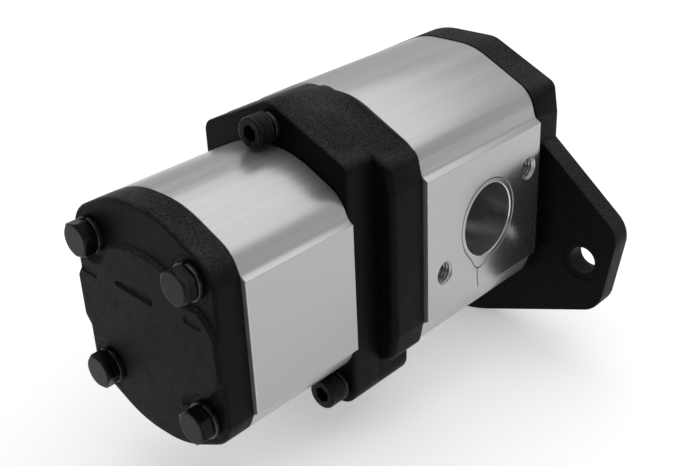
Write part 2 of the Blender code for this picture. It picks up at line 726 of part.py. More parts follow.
def port(side, pad, radius, place):
    """Cutter for a port from a side pad into the gear chamber, with a chamfered mouth."""
    mouth = radius + PORT_CHAMFER
    profile = [(mouth + OVERCUT, side * (pad + OVERCUT)), (radius, side * (pad - PORT_CHAMFER)),
               (radius, 0.0)]
    return side_bore("port", profile, place)


def front_body():
    """Extruded body of the large section: inlet on +X, outlet on -X."""
    piece = prism("front_body", front_outline(True), FRONT.front, FRONT.rear)
    pad = FRONT_PAD_HALF_WIDTH
    middle = FRONT.centre_z
    cutters = [chamber_cutter(FRONT),
               port(1, pad, INLET_RADIUS, (INLET_Y, middle)),
               port(-1, pad, OUTLET_RADIUS, (FRONT.middle, middle))]
    for way in (-1, 1):
        inlet_place = (INLET_Y + way * INLET_BOLT_ALONG, middle + way * INLET_BOLT_UP)
        outlet_place = (FRONT.middle + way * OUTLET_BOLT_ALONG, middle + way * OUTLET_BOLT_UP)
        cutters.append(threaded_hole(1, pad, inlet_place))
        cutters.append(threaded_hole(-1, pad, outlet_place))
    cutters.append(drill(FRONT_PASSAGE_RADIUS, INLET_Y, FRONT.rear - OVERCUT, (FRONT_PASSAGE_X, middle)))
    for place in BODY_SCREW_PLACES:
        cutters.append(drill(BODY_SCREW_RADIUS + HOLE_CLEARANCE, FRONT.front + OVERCUT,
                             FRONT.rear - OVERCUT, place))
    for place in FRONT_DOWEL_PLACES:
        cutters.append(drill(FRONT_DOWEL_RADIUS + JOINT_GAP, FRONT.front + OVERCUT,
                             FRONT_START - DOWEL_LENGTH / 2 - JOINT_GAP, place))
    cut(piece, *cutters)
    finish(piece, "aluminium")


def rear_body():
    """Extruded body of the small section: fed through the middle block, threaded outlet on -X."""
    piece = prism("rear_body", rear_outline(True), REAR.front, REAR.rear)
    middle = REAR.centre_z
    pad = REAR_PAD_HALF_WIDTH
    mouth = REAR_OUTLET_RADIUS + PORT_CHAMFER
    outlet = [(mouth + OVERCUT, -pad - OVERCUT), (REAR_OUTLET_RADIUS, PORT_CHAMFER - pad),
              (REAR_OUTLET_RADIUS, REAR_OUTLET_DEPTH - pad), (REAR_OUTLET_THROAT, REAR_OUTLET_DEPTH - pad),
              (REAR_OUTLET_THROAT, 0.0)]
    feed = [(REAR_PASSAGE_RADIUS, 0.0), (REAR_PASSAGE_RADIUS, REAR_PASSAGE_X)]
    cutters = [chamber_cutter(REAR),
               side_bore("outlet", outlet, (REAR.middle, middle)),
               side_bore("feed", feed, (REAR.middle, middle)),
               drill(REAR_PASSAGE_RADIUS, REAR.front + OVERCUT, REAR.middle - REAR_PASSAGE_RADIUS,
                     (REAR_PASSAGE_X, middle))]
    for place in COVER_BOLT_PLACES:
        cutters.append(drill(COVER_BOLT_RADIUS + HOLE_CLEARANCE, REAR.front + OVERCUT,
                             REAR.rear - OVERCUT, place))
    for place in REAR_DOWEL_PLACES:
        cutters.append(drill(REAR_DOWEL_RADIUS + JOINT_GAP, REAR.front + OVERCUT,
                             REAR_START - DOWEL_LENGTH / 2 - JOINT_GAP, place))
    cut(piece, *cutters)
    finish(piece, "aluminium")


def front_end_cover():
    """Cast cover behind the large body; its lugs line up with those of the small section's flange."""
    centre = np.array([0.0, FRONT.centre_z])
    wide = front_outline(False)
    lugs = lug_outline()
    angles = outline_angles([wide, lugs], centre)
    rear = END_COVER_START - END_COVER_LENGTH
    drafted = joined([wide, lug_outline(TOP_LUG_DRAFT)], centre, angles)
    whole = joined([wide, lugs], centre, angles)
    eased = joined([front_outline(False, -CAST_EDGE), lugs], centre, angles)
    rings = [along_y(drafted, END_COVER_START), along_y(whole, rear + CAST_EDGE), along_y(eased, rear)]
    piece = skin("front_end_cover", rings)
    passage = [along_y(circle(FRONT_PASSAGE_RADIUS, SMALL_STEPS), END_COVER_START + OVERCUT,
                       (FRONT_PASSAGE_X, FRONT.centre_z)),
               along_y(circle(REAR_PASSAGE_RADIUS, SMALL_STEPS), rear - OVERCUT,
                       (REAR_PASSAGE_X, REAR.centre_z))]
    outer, inner = interface_seal_track()
    groove = hoop("groove", circle(outer + JOINT_GAP), circle(inner - JOINT_GAP), rear - OVERCUT,
                  rear + BODY_SEAL_DEPTH + JOINT_GAP)
    cutters = [skin("passage", passage), groove,
               drill(COUPLING_BORE, END_COVER_START + OVERCUT, rear - OVERCUT, (0.0, 0.0), ROUND_STEPS),
               body_seal_groove(FRONT, FRONT_BODY_SEAL_OFFSET, END_COVER_START, -BODY_SEAL_DEPTH)]
    for place in BODY_SCREW_PLACES:
        cutters.append(drill(BODY_SCREW_RADIUS + JOINT_GAP, END_COVER_START + OVERCUT,
                             END_COVER_START - THREAD_REACH - JOINT_GAP, place))
    for place in PLATE_SCREW_PLACES.values():
        cutters.append(drill(PLATE_SCREW_RADIUS + JOINT_GAP, rear - OVERCUT,
                             rear + THREAD_REACH + JOINT_GAP, place))
    cut(piece, *cutters)
    finish(piece, "cast_black")


def interface_seal():
    """Square-section ring round the coupling bore."""
    outer, inner = interface_seal_track()
    face = END_COVER_START - END_COVER_LENGTH
    finish(hoop("interface_seal", circle(outer), circle(inner), face, face + BODY_SEAL_DEPTH), "seal_rubber")


def rear_pump_flange():
    """Cast front flange of the small section with its three lugs."""
    piece = prism("rear_pump_flange", lug_outline(), REAR_FLANGE_START,
                  REAR_FLANGE_START - REAR_FLANGE_LENGTH)
    rear = REAR_FLANGE_START - REAR_FLANGE_LENGTH
    through = (REAR_FLANGE_START + OVERCUT, rear - OVERCUT)
    cutters = [drill(COUPLING_BORE, *through, (0.0, 0.0), ROUND_STEPS),
               drill(REAR_PASSAGE_RADIUS, *through, (REAR_PASSAGE_X, REAR.centre_z)),
               body_seal_groove(REAR, REAR_BODY_SEAL_OFFSET, rear, BODY_SEAL_DEPTH)]
    for place in PLATE_SCREW_PLACES.values():
        cutters.append(drill(PLATE_SCREW_RADIUS + HOLE_CLEARANCE, *through, place))
    for place in COVER_BOLT_PLACES:
        cutters.append(drill(COVER_BOLT_RADIUS + JOINT_GAP, rear - OVERCUT,
                             rear + THREAD_REACH + JOINT_GAP, place))
    for place in REAR_DOWEL_PLACES:
        cutters.append(drill(REAR_DOWEL_RADIUS + JOINT_GAP, rear - OVERCUT,
                             REAR_START + DOWEL_LENGTH / 2 + JOINT_GAP, place))
    cut(piece, *cutters)
    finish(piece, "cast_black")


def rear_cover():
    """Cast rear cover: eased rim, a raised middle as wide as the cover and a spot face for each bolt."""
    centre = np.array([0.0, REAR.centre_z])
    inside = rear_outline(False, -CAST_EDGE)
    lens = arches(centre)
    angles = outline_angles([inside, lens], centre)
    rim = joined([rear_outline(False)], centre, angles)
    eased = joined([inside], centre, angles)
    middle = joined([inside, lens], centre, angles, np.min)
    at_edge = np.linalg.norm(eased - middle, axis=1) < WELD_DISTANCE
    face = np.where(at_edge, MIDDLE_FACE, REAR_FACE)
    rings = [along_y(rim, REAR_COVER_START), along_y(rim, face + CAST_EDGE), along_y(eased, face),
             along_y(middle, face), along_y(middle, MIDDLE_FACE)]
    piece = skin("rear_cover", rings)
    cutters = [body_seal_groove(REAR, REAR_BODY_SEAL_OFFSET, REAR_COVER_START, -BODY_SEAL_DEPTH)]
    for place in COVER_BOLT_PLACES:
        cutters.append(drill(COVER_SPOT_RADIUS, BOLT_SEAT, MIDDLE_FACE - OVERCUT, place, ROUND_STEPS))
        cutters.append(drill(COVER_BOLT_RADIUS + HOLE_CLEARANCE, REAR_COVER_START + OVERCUT,
                             REAR_FACE - OVERCUT, place))
    cut(piece, *cutters)
    finish(piece, "cast_black")


def bearing_blocks(section):
    """Blocks that carry the bushes, with a seal groove on the face away from the gears."""
    for end, (outer_face, gear_face) in section.blocks().items():
        shape = figure_eight(section.block, section.spacing)
        piece = prism(f"{section.tag}_bearing_block_{end}", shape, outer_face, gear_face)
        away = 1 if outer_face > gear_face else -1
        groove = strip(three_path(section), section.seal_width + 2 * JOINT_GAP)
        cutters = [prism("groove", groove, outer_face + away * OVERCUT,
                         outer_face - away * (PRESSURE_SEAL_DEPTH + JOINT_GAP))]
        for height in section.axes().values():
            cutters.append(drill(section.bush_outer + JOINT_GAP, outer_face + away * OVERCUT,
                                 gear_face - away * OVERCUT, (0.0, height), ROUND_STEPS))
        cut(piece, *cutters)
        finish(piece, "bearing_metal")
        seal = strip(three_path(section), section.seal_width)
        name = f"{section.tag}_pressure_seal_{end}"
        finish(prism(name, seal, outer_face, outer_face - away * PRESSURE_SEAL_DEPTH), "seal_red")


def bushes(section):
    """Plain bearing bush round each journal."""
    for end, (outer_face, gear_face) in section.blocks().items():
        for shaft, height in section.axes().items():
            outer = circle(section.bush_outer)
            inner = circle(section.bush_inner)
            name = f"{section.tag}_bush_{end}_{shaft}"
            finish(hoop(name, outer, inner, outer_face, gear_face, (0.0, height)), "bronze")


def body_seal(section, offset, end, face, depth):
    """Square-section ring lying in a cover's groove."""
    outer, inner = body_seal_track(section, offset)
    finish(hoop(f"{section.tag}_body_seal_{end}", outer, inner, face, face + depth), "seal_rubber")


def gear(name, section, height, profile, phase):
    """Gear and journals in one piece, its origin on its own axis."""
    origin = (0.0, section.middle, height)
    piece = turned(name, profile, height, origin=origin)
    rings = [along_y(gear_outline(section, phase), y, (0.0, height))
             for y in (section.gear_front, section.gear_rear)]
    join(piece, skin("teeth", rings))
    return piece


def driven_gear_shafts():
    """Upper gears, held between the bearing blocks."""
    for name, section in (("driven_gear_shaft", FRONT), ("rear_driven_gear_shaft", REAR)):
        front = section.front - JOINT_GAP
        rear = section.rear + JOINT_GAP
        ease = SHAFT_CHAMFER
        profile = [(section.journal - ease, front), (section.journal, front - ease),
                   (section.journal, rear + ease), (section.journal - ease, rear)]
        piece = gear(name, section, section.spacing, profile, -pi / 2 + pi / TOOTH_COUNT)
        finish(piece, "gear_steel")


def keyway_outline(grow):
    """Round-ended key seen from above, near the end of the shaft."""
    half = KEY_WIDTH / 2
    far = SHAFT_END_LENGTH - KEY_END_MARGIN - half
    near = far - KEY_LENGTH + KEY_WIDTH
    return np.vstack([arc((0.0, far), half + grow, 0.0, pi, 8), arc((0.0, near), half + grow, pi, 2 * pi, 8)])


def splines(start, end):
    """Splined shaft end, to be joined to a drive shaft."""
    return prism("splines", spline_outline(), start, end)


def drive_gear_shaft():
    """Lower gear of the large section with the keyed shaft end and the splined rear end."""
    ease = SHAFT_CHAMFER
    step = PILOT_LENGTH + ease
    rear = FRONT.rear + JOINT_GAP
    profile = [(SHAFT_END_RADIUS - ease, SHAFT_END_LENGTH), (SHAFT_END_RADIUS, SHAFT_END_LENGTH - ease),
               (SHAFT_END_RADIUS, step), (FRONT.journal, step - ease), (FRONT.journal, rear)]
    piece = gear("drive_gear_shaft", FRONT, 0.0, profile, pi / 2)
    join(piece, splines(rear + OVERCUT, rear - SPLINE_LENGTH))
    floor = SHAFT_END_RADIUS - KEYWAY_DEPTH
    keyway = prism("keyway", keyway_outline(JOINT_GAP), floor, 2 * SHAFT_END_RADIUS, along_z)
    cut(piece, keyway)
    finish(piece, "gear_steel")


def shaft_key():
    """Round-ended key in the shaft end."""
    floor = SHAFT_END_RADIUS - KEYWAY_DEPTH + JOINT_GAP
    finish(prism("shaft_key", keyway_outline(0.0), floor, floor + KEY_WIDTH, along_z), "gear_steel")


def rear_drive_gear_shaft():
    """Lower gear of the small section, driven at its splined front end."""
    ease = SHAFT_CHAMFER
    front = REAR.front - JOINT_GAP
    rear = REAR.rear + JOINT_GAP
    profile = [(REAR.journal, front), (REAR.journal, rear + ease), (REAR.journal - ease, rear)]
    piece = gear("rear_drive_gear_shaft", REAR, 0.0, profile, pi / 2)
    join(piece, splines(front - OVERCUT, front + SPLINE_LENGTH))
    finish(piece, "gear_steel")


def coupling_sleeve():
    """Splined sleeve over both drive shaft ends."""
    front = SLEEVE_MIDDLE + SLEEVE_LENGTH / 2
    rear = SLEEVE_MIDDLE - SLEEVE_LENGTH / 2
    piece = prism("coupling_sleeve", circle(SLEEVE_RADIUS), front, rear)
    cut(piece, prism("splines", spline_outline(JOINT_GAP), front + OVERCUT, rear - OVERCUT))
    finish(piece, "gear_steel")


def hex_outline(across_flats):
    """Hexagon with as many points as the round rings of a bolt."""
    hexagon = circle(across_flats / 2 / cos(pi / 6), 6)
    angles = np.arange(SMALL_STEPS) * 2 * pi / SMALL_STEPS
    return joined([hexagon], np.zeros(2), angles)


def cover_bolts():
    """Hex bolts from the rear cover into the small section's flange, with chamfered heads."""
    seat = BOLT_SEAT - JOINT_GAP - WASHER_THICKNESS - JOINT_GAP
    tip = REAR_FLANGE_START - REAR_FLANGE_LENGTH + THREAD_REACH
    top = seat - HEX_HEIGHT
    hexagon = hex_outline(HEX_ACROSS_FLATS)
    end_radius = 0.475 * HEX_ACROSS_FLATS
    slope = top + (np.linalg.norm(hexagon, axis=1) - end_radius) * tan(radians(30))
    shank = circle(COVER_BOLT_RADIUS, SMALL_STEPS)
    shank_tip = circle(COVER_BOLT_RADIUS - MM, SMALL_STEPS)
    end = circle(end_radius, SMALL_STEPS)
    for number, place in enumerate(COVER_BOLT_PLACES, start=1):
        rings = [along_y(shank_tip, tip, place), along_y(shank, tip - MM, place), along_y(shank, seat, place),
                 along_y(hexagon, seat, place), along_y(hexagon, slope, place), along_y(end, top, place)]
        finish(skin(f"cover_bolt_{number}", rings), "black_oxide")


def cover_lock_washers():
    """Split spring washers under the hex heads."""
    shape = split_ring(WASHER_RADIUS, COVER_BOLT_RADIUS + JOINT_GAP, WASHER_SPLIT, HOLE_STEPS)
    face = BOLT_SEAT - JOINT_GAP
    for number, place in enumerate(COVER_BOLT_PLACES, start=1):
        rings = [along_y(shape, face, place), along_y(shape, face - WASHER_THICKNESS, place)]
        finish(skin(f"cover_lock_washer_{number}", rings), "black_oxide")


def socket_screw(name, radius, seat, tip, place):
    """Cylinder-head screw with a hexagon socket; the shank runs from the seat to the tip."""
    outward = -1 if tip > seat else 1
    head = radius * SOCKET_HEAD_FACTOR
    top = seat + outward * 2 * radius
    ease = 0.12 * radius
    floor = top - outward * radius
    socket = hex_outline(2 * radius * SOCKET_KEY_FACTOR)
    rounds = [(radius - ease, tip), (radius, tip + outward * ease), (radius, seat), (head, seat),
              (head, top - outward * ease), (head - ease, top)]
    rings = [along_y(circle(reach, SMALL_STEPS), y, place) for reach, y in rounds]
    rings += [along_y(socket, top, place), along_y(socket, floor, place)]
    finish(skin(name, rings), "black_oxide")


def plate_screws():
    """Socket screws and spring washers that hold the small section on the large one."""
    face = REAR_FLANGE_START - REAR_FLANGE_LENGTH - JOINT_GAP
    seat = face - PLATE_SCREW_WASHER - JOINT_GAP
    tip = END_COVER_START - END_COVER_LENGTH + THREAD_REACH
    shape = split_ring(PLATE_SCREW_RADIUS * SOCKET_HEAD_FACTOR, PLATE_SCREW_RADIUS + JOINT_GAP,
                       WASHER_SPLIT, HOLE_STEPS)
    for side, place in PLATE_SCREW_PLACES.items():
        socket_screw(f"plate_screw_{side}", PLATE_SCREW_RADIUS, seat, tip, place)
        rings = [along_y(shape, face, place), along_y(shape, face - PLATE_SCREW_WASHER, place)]
        finish(skin(f"plate_lock_washer_{side}", rings), "black_oxide")


def body_screws():
    """Socket screws from the mounting face through the large body into its end cover."""
    tip = END_COVER_START - THREAD_REACH
    for number, place in enumerate(BODY_SCREW_PLACES, start=1):
        socket_screw(f"body_screw_{number}", BODY_SCREW_RADIUS, BODY_SCREW_SEAT + JOINT_GAP, tip, place)


def dowels():
    """Locating pins between each body and the piece in front of it."""
    groups = [("front", FRONT_DOWEL_PLACES, FRONT_DOWEL_RADIUS, FRONT_START),
              ("rear", REAR_DOWEL_PLACES, REAR_DOWEL_RADIUS, REAR_START)]
    for tag, places, radius, joint in groups:
        for number, place in enumerate(places, start=1):
            middle = joint + JOINT_GAP / 2
            pin = circle(radius, HOLE_STEPS, place)
            name = f"{tag}_dowel_{number}"
            finish(prism(name, pin, middle + DOWEL_LENGTH / 2, middle - DOWEL_LENGTH / 2), "gear_steel")


for leftover in list(bpy.data.objects):
    bpy.data.objects.remove(leftover)

mounting_flange()
shaft_seal()
seal_retaining_ring()
front_body()
front_end_cover()
interface_seal()
rear_pump_flange()
rear_body()
rear_cover()
for pump_section in (FRONT, REAR):
    bearing_blocks(pump_section)
    bushes(pump_section)
body_seal(FRONT, FRONT_BODY_SEAL_OFFSET, "fore", -FLANGE_LENGTH, BODY_SEAL_DEPTH)
body_seal(FRONT, FRONT_BODY_SEAL_OFFSET, "aft", END_COVER_START, -BODY_SEAL_DEPTH)
body_seal(REAR, REAR_BODY_SEAL_OFFSET, "fore", REAR_FLANGE_START - REAR_FLANGE_LENGTH, BODY_SEAL_DEPTH)
body_seal(REAR, REAR_BODY_SEAL_OFFSET, "aft", REAR_COVER_START, -BODY_SEAL_DEPTH)
driven_gear_shafts()
drive_gear_shaft()
shaft_key()
rear_drive_gear_shaft()
coupling_sleeve()
cover_bolts()
cover_lock_washers()
plate_screws()
body_screws()
dowels()
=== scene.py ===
"""Tandem hydraulic gear pump on a white studio floor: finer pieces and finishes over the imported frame.

Lengths are in millimetres. The shaft line is Y, the mounting face lies at Y = 0 and the pump runs
towards -Y; the inlet is on +X and Z is up.
"""

import bmesh
import bpy
import numpy as np
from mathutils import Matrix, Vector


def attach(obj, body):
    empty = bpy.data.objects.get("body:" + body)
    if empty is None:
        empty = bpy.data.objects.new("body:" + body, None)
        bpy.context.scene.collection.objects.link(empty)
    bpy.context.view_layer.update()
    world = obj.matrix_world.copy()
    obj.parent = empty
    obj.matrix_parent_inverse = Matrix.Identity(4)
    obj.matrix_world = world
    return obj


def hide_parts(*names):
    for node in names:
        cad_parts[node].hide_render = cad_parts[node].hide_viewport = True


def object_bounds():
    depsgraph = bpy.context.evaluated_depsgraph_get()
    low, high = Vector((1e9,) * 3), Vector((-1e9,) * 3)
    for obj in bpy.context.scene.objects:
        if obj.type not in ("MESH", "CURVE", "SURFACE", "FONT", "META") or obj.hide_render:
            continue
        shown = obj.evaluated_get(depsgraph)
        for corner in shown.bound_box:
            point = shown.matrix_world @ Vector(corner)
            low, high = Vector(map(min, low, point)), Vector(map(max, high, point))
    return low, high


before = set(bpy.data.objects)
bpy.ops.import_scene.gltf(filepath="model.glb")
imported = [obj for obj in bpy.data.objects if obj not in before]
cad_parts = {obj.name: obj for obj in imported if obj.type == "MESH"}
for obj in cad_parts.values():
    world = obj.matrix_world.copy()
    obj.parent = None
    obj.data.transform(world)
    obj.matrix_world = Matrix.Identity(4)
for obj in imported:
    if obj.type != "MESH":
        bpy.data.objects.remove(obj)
cad_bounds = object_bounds()

# Mounting flange
# One iron casting: a two-bolt plate, a cover as wide as the large body and a turned pilot.
# Cast skin on the outside, blackened; the pilot, seal bore and bolt faces are machined.

MM = 0.001
FLANGE_TILT = np.radians(10)
FLANGE_PLATE = 11.0
FLANGE_DEPTH = 16.1
FLANGE_HALF_WIDTH = 86.7
FLANGE_HUB = 61.3
FLANGE_SIDE_SLOPE = np.radians(30.3)
FLANGE_NOSE_CORNER = 13.0
FLANGE_BOLT_REACH = 73.0
FLANGE_BOLT_HOLE = 6.5
BOLT_FACE = 10.0
BOLT_FACE_DEPTH = 0.5
PILOT_RADIUS = 50.8
PILOT_LENGTH = 9.7
PILOT_CHAMFER = 1.2
SEAL_BORE = 20.0
SEAL_SEAT = -2.0
RING_GROOVE = 21.3
RING_GROOVE_FRONT, RING_GROOVE_REAR = 8.7, 6.6
SHAFT_HOLE = 12.55
FRONT_MIDDLE_Z = 19.0
BODY_SCREW_PLACES = [(x, FRONT_MIDDLE_Z + up) for up in (37.0, -37.0) for x in (-33.0, 33.0)]
BODY_SCREW_SEAT = -10.4
BODY_SCREW_HEAD_HOLE = 8.5
BODY_SCREW_HOLE = 5.5
FRONT_DOWEL_PLACES = [(-24.0, 65.0), (24.0, -27.0)]
FRONT_DOWEL_HOLE = 3.3
FRONT_DOWEL_TOP = -9.1
INSIDE_PLATE = -5.0
OVERRUN = 1.0
SHARPEST_CORNER = 0.02


def rounded(corners, inset=0.0, steps=14, closed=True):
    """Line with tangent arcs at its corners (u, v, radius), its sides moved to the left by the inset.

    An arc is centre + r (cos a, sin a), with a swept from the normal of one side to that of the next.
    """
    corners = np.asarray(corners, float)
    place = corners[:, :2]
    along = np.roll(place, -1, axis=0) - place
    along /= np.linalg.norm(along, axis=1, keepdims=True)
    after = np.column_stack([-along[:, 1], along[:, 0]])
    before = np.roll(after, 1, axis=0)
    dot = (before * after).sum(axis=1)
    cross = before[:, 0] * after[:, 1] - before[:, 1] * after[:, 0]
    bend = np.where(cross < 0, -1.0, 1.0)
    radius = np.maximum(corners[:, 2] - bend * inset, SHARPEST_CORNER)
    mitre = (before + after) / (1 + dot)[:, None]
    centre = place + mitre * (inset + bend * radius)[:, None]
    first = np.arctan2(-bend * before[:, 1], -bend * before[:, 0])
    angle = first[:, None] + np.arctan2(cross, dot)[:, None] * np.linspace(0, 1, steps)
    arcs = centre[:, None] + radius[:, None, None] * np.stack([np.cos(angle), np.sin(angle)], axis=-1)
    if closed:
        return arcs.reshape(-1, 2)
    return np.vstack([place[:1], arcs[1:-1].reshape(-1, 2), place[-1:]])


def body_corners(half_height, half_width, crown, foot, middle_z, corner, slope=26.6, setback=3.4, hollow=1.2):
    """Corners of a body seen along the shaft: straight sides, leaning shoulders and a crown (x, radius).

    The shoulder runs from the crown at its slope, in degrees, to a corner set back from the side; the
    side starts at its foot, in a hollow, and the lower half is the upper one turned round.
    """
    shoulder_x = half_width - setback
    shoulder_z = half_height - (shoulder_x - crown[0]) * np.tan(np.radians(slope))
    right = [(half_width, foot, hollow), (shoulder_x, shoulder_z, corner), (crown[0], half_height, crown[1])]
    upper = np.array(right + [(-x, z, r) for x, z, r in reversed(right)])
    return np.vstack([upper, upper * (-1, -1, 1)]) + (0, middle_z, 0)


def flange_outline(inset):
    """Round hub with straight sides to square noses, turned about the shaft."""
    apex = FLANGE_HUB / np.cos(FLANGE_SIDE_SLOPE)
    nose = apex - FLANGE_HALF_WIDTH * np.tan(FLANGE_SIDE_SLOPE)
    right = np.array([(FLANGE_HALF_WIDTH, -nose, FLANGE_NOSE_CORNER),
                      (FLANGE_HALF_WIDTH, nose, FLANGE_NOSE_CORNER), (0.0, apex, FLANGE_HUB)])
    corners = np.vstack([right, right * (-1, -1, 1)])
    cosine, sine = np.cos(FLANGE_TILT), np.sin(FLANGE_TILT)
    return rounded(corners, inset, steps=40) @ np.array([[cosine, -sine], [sine, cosine]])


def at_depth(outline, depth):
    """Outline (x, z) placed at a depth along the shaft."""
    return np.insert(outline, 1, depth, axis=1)


def loft(name, rings, closed=False):
    """Skin over a grid of points [ring, step]: a quad between four neighbours, flat ends unless closed."""
    grid = np.asarray(rings, float)
    index = np.arange(grid.shape[0] * grid.shape[1]).reshape(grid.shape[:2])
    rows = np.vstack([index, index[:1]]) if closed else index
    near, far = rows[:-1], rows[1:]
    quads = np.stack([near, np.roll(near, -1, axis=1), np.roll(far, -1, axis=1), far], axis=-1)
    ends = [] if closed else [index[0, ::-1].tolist(), index[-1].tolist()]
    mesh = bpy.data.meshes.new(name)
    mesh.from_pydata(grid.reshape(-1, 3) * MM, [], quads.reshape(-1, 4).tolist() + ends)
    work = bmesh.new()
    work.from_mesh(mesh)
    bmesh.ops.remove_doubles(work, verts=work.verts, dist=1e-7)
    bmesh.ops.recalc_face_normals(work, faces=work.faces)
    work.to_mesh(mesh)
    work.free()
    piece = bpy.data.objects.new(name, mesh)
    bpy.context.scene.collection.objects.link(piece)
    return piece


def slab(name, outline, front, rear, front_edge, rear_edge, leaning=False):
    """Plate from one depth to another whose rims are quarter rounds.

    On a rim of radius e the ring at swing a lies e (1 - sin a) inside the outline and e (1 - cos a)
    from the face, with a flat land inside it. A leaning plate's outline also changes with depth.
    """
    land = 0.4
    swing = np.linspace(0, np.pi / 2, 7)
    inset = np.concatenate([[front_edge + land], front_edge * (1 - np.sin(swing)),
                            rear_edge * (1 - np.sin(swing[::-1])), [rear_edge + land]])
    depth = np.concatenate([[front], front - front_edge * (1 - np.cos(swing)),
                            rear + rear_edge * (1 - np.cos(swing[::-1])), [rear]])
    rings = [at_depth(outline(i, d) if leaning else outline(i), d) for i, d in zip(inset, depth)]
    return loft(name, rings)


def turned(name, profile, place=(0.0, 0.0), axis="Y", steps=96, closed=False):
    """Solid turned about a line along an axis: the ring at (radius, depth) is place + r (cos t, sin t)."""
    radius, depth = np.asarray(profile, float).T[..., None]
    angle = np.linspace(0, 2 * np.pi, steps, endpoint=False)
    across = place[0] + radius * np.cos(angle)
    upward = place[1] + radius * np.sin(angle)
    along = np.broadcast_to(depth, across.shape)
    columns = {"X": (along, across, upward), "Y": (across, along, upward)}
    return loft(name, np.stack(columns[axis], axis=-1), closed)


def shape(piece, others, operation="DIFFERENCE"):
    """Cut the others out of a piece, or join them to it, and drop them."""
    for other in others:
        step = piece.modifiers.new("shape", "BOOLEAN")
        step.operation = operation
        step.solver = "EXACT"
        step.object = other
    bpy.context.view_layer.update()
    ready = piece.evaluated_get(bpy.context.evaluated_depsgraph_get())
    mesh = bpy.data.meshes.new_from_object(ready)
    piece.modifiers.clear()
    piece.data = mesh
    for other in others:
        bpy.data.objects.remove(other)


def hole(radius, start, end, place, chamfer=0.0, axis="Y"):
    """Cutter for a round hole from a mouth at start; a chamfer widens the mouth."""
    way = np.sign(end - start)
    profile = [(radius + chamfer + OVERRUN, start - way * OVERRUN), (radius + chamfer, start),
               (radius, start + way * chamfer), (radius, end)]
    if chamfer == 0:
        profile = [(radius, start - way * OVERRUN), (radius, end)]
    return turned("hole", profile, place, axis, steps=64)


def shader_node(tree, kind, inputs=None, **settings):
    """New node of a shader tree; an input takes a number, a colour or the output of another node."""
    made = tree.nodes.new("ShaderNode" + kind)
    for name, value in settings.items():
        setattr(made, name, value)
    for name, value in (inputs or {}).items():
        if isinstance(value, bpy.types.NodeSocket):
            tree.links.new(value, made.inputs[name])
        else:
            made.inputs[name].default_value = value
    return made


def ramp(tree, value, start, end, low=0.0, high=1.0):
    """Number that goes evenly from low to high while a value goes from start to end, and then stays."""
    given = {"Value": value, "From Min": start, "From Max": end, "To Min": low, "To Max": high}
    return shader_node(tree, "MapRange", given).outputs["Result"]


def reckoned(tree, operation, first, second):
    """Result of a sum, difference, product or maximum of two numbers."""
    return shader_node(tree, "Math", {0: first, 1: second}, operation=operation).outputs[0]


def noise(tree, place, scale, detail, roughness=0.5):
    """Noise from 0 to 1 over a place."""
    given = {"Vector": place, "Scale": scale, "Detail": detail, "Roughness": roughness}
    return shader_node(tree, "TexNoise", given).outputs["Fac"]


def stretched(tree, place, scale):
    """Place with its axes scaled, so that a pattern on it is drawn out."""
    return shader_node(tree, "Mapping", {"Vector": place, "Scale": scale}).outputs["Vector"]


def coloured(tree, factor, first, second):
    """Colour between two others by a factor from 0 to 1; each is three numbers or another node's output."""
    first, second = ((*side, 1) if isinstance(side, tuple) else side for side in (first, second))
    return shader_node(tree, "Mix", {0: factor, 6: first, 7: second}, data_type="RGBA").outputs[2]


def grain_group():
    """Shared grain: cloudy noise and a finer one over it, both stretched along the axes as asked."""
    group = bpy.data.node_groups.new("grain", "ShaderNodeTree")
    group.interface.new_socket("Stretch", in_out="INPUT", socket_type="NodeSocketVector")
    group.interface.new_socket("Shade", in_out="OUTPUT", socket_type="NodeSocketFloat")
    group.interface.new_socket("Height", in_out="OUTPUT", socket_type="NodeSocketFloat")
    given = group.nodes.new("NodeGroupInput")
    place = shader_node(group, "TexCoord").outputs["Object"]
    laid = stretched(group, place, given.outputs["Stretch"])
    cloud = noise(group, laid, 0.25, 3.0)
    fine = noise(group, laid, 1.0, 4.0, 0.6)
    result = group.nodes.new("NodeGroupOutput")
    group.links.new(ramp(group, reckoned(group, "ADD", cloud, fine), 0.75, 1.25), result.inputs["Shade"])
    group.links.new(fine, result.inputs["Height"])
    return group


GRAIN = grain_group()


def finish_of(name, stretch, colours, roughness, metallic, relief, specular=0.5):
    """Material whose colour, roughness and relief follow the shared grain."""
    made = bpy.data.materials.new(name)
    made.use_nodes = True
    tree = made.node_tree
    paint = tree.nodes["Principled BSDF"]
    grain = shader_node(tree, "Group", node_tree=GRAIN)
    grain.inputs["Stretch"].default_value = stretch
    shade = grain.outputs["Shade"]
    bump = shader_node(tree, "Bump", {"Height": grain.outputs["Height"], "Distance": relief * MM})
    tree.links.new(coloured(tree, shade, *colours), paint.inputs["Base Color"])
    tree.links.new(ramp(tree, shade, 0.0, 1.0, *roughness), paint.inputs["Roughness"])
    tree.links.new(bump.outputs["Normal"], paint.inputs["Normal"])
    paint.inputs["Metallic"].default_value = metallic
    paint.inputs["Specular IOR Level"].default_value = specular
    return made


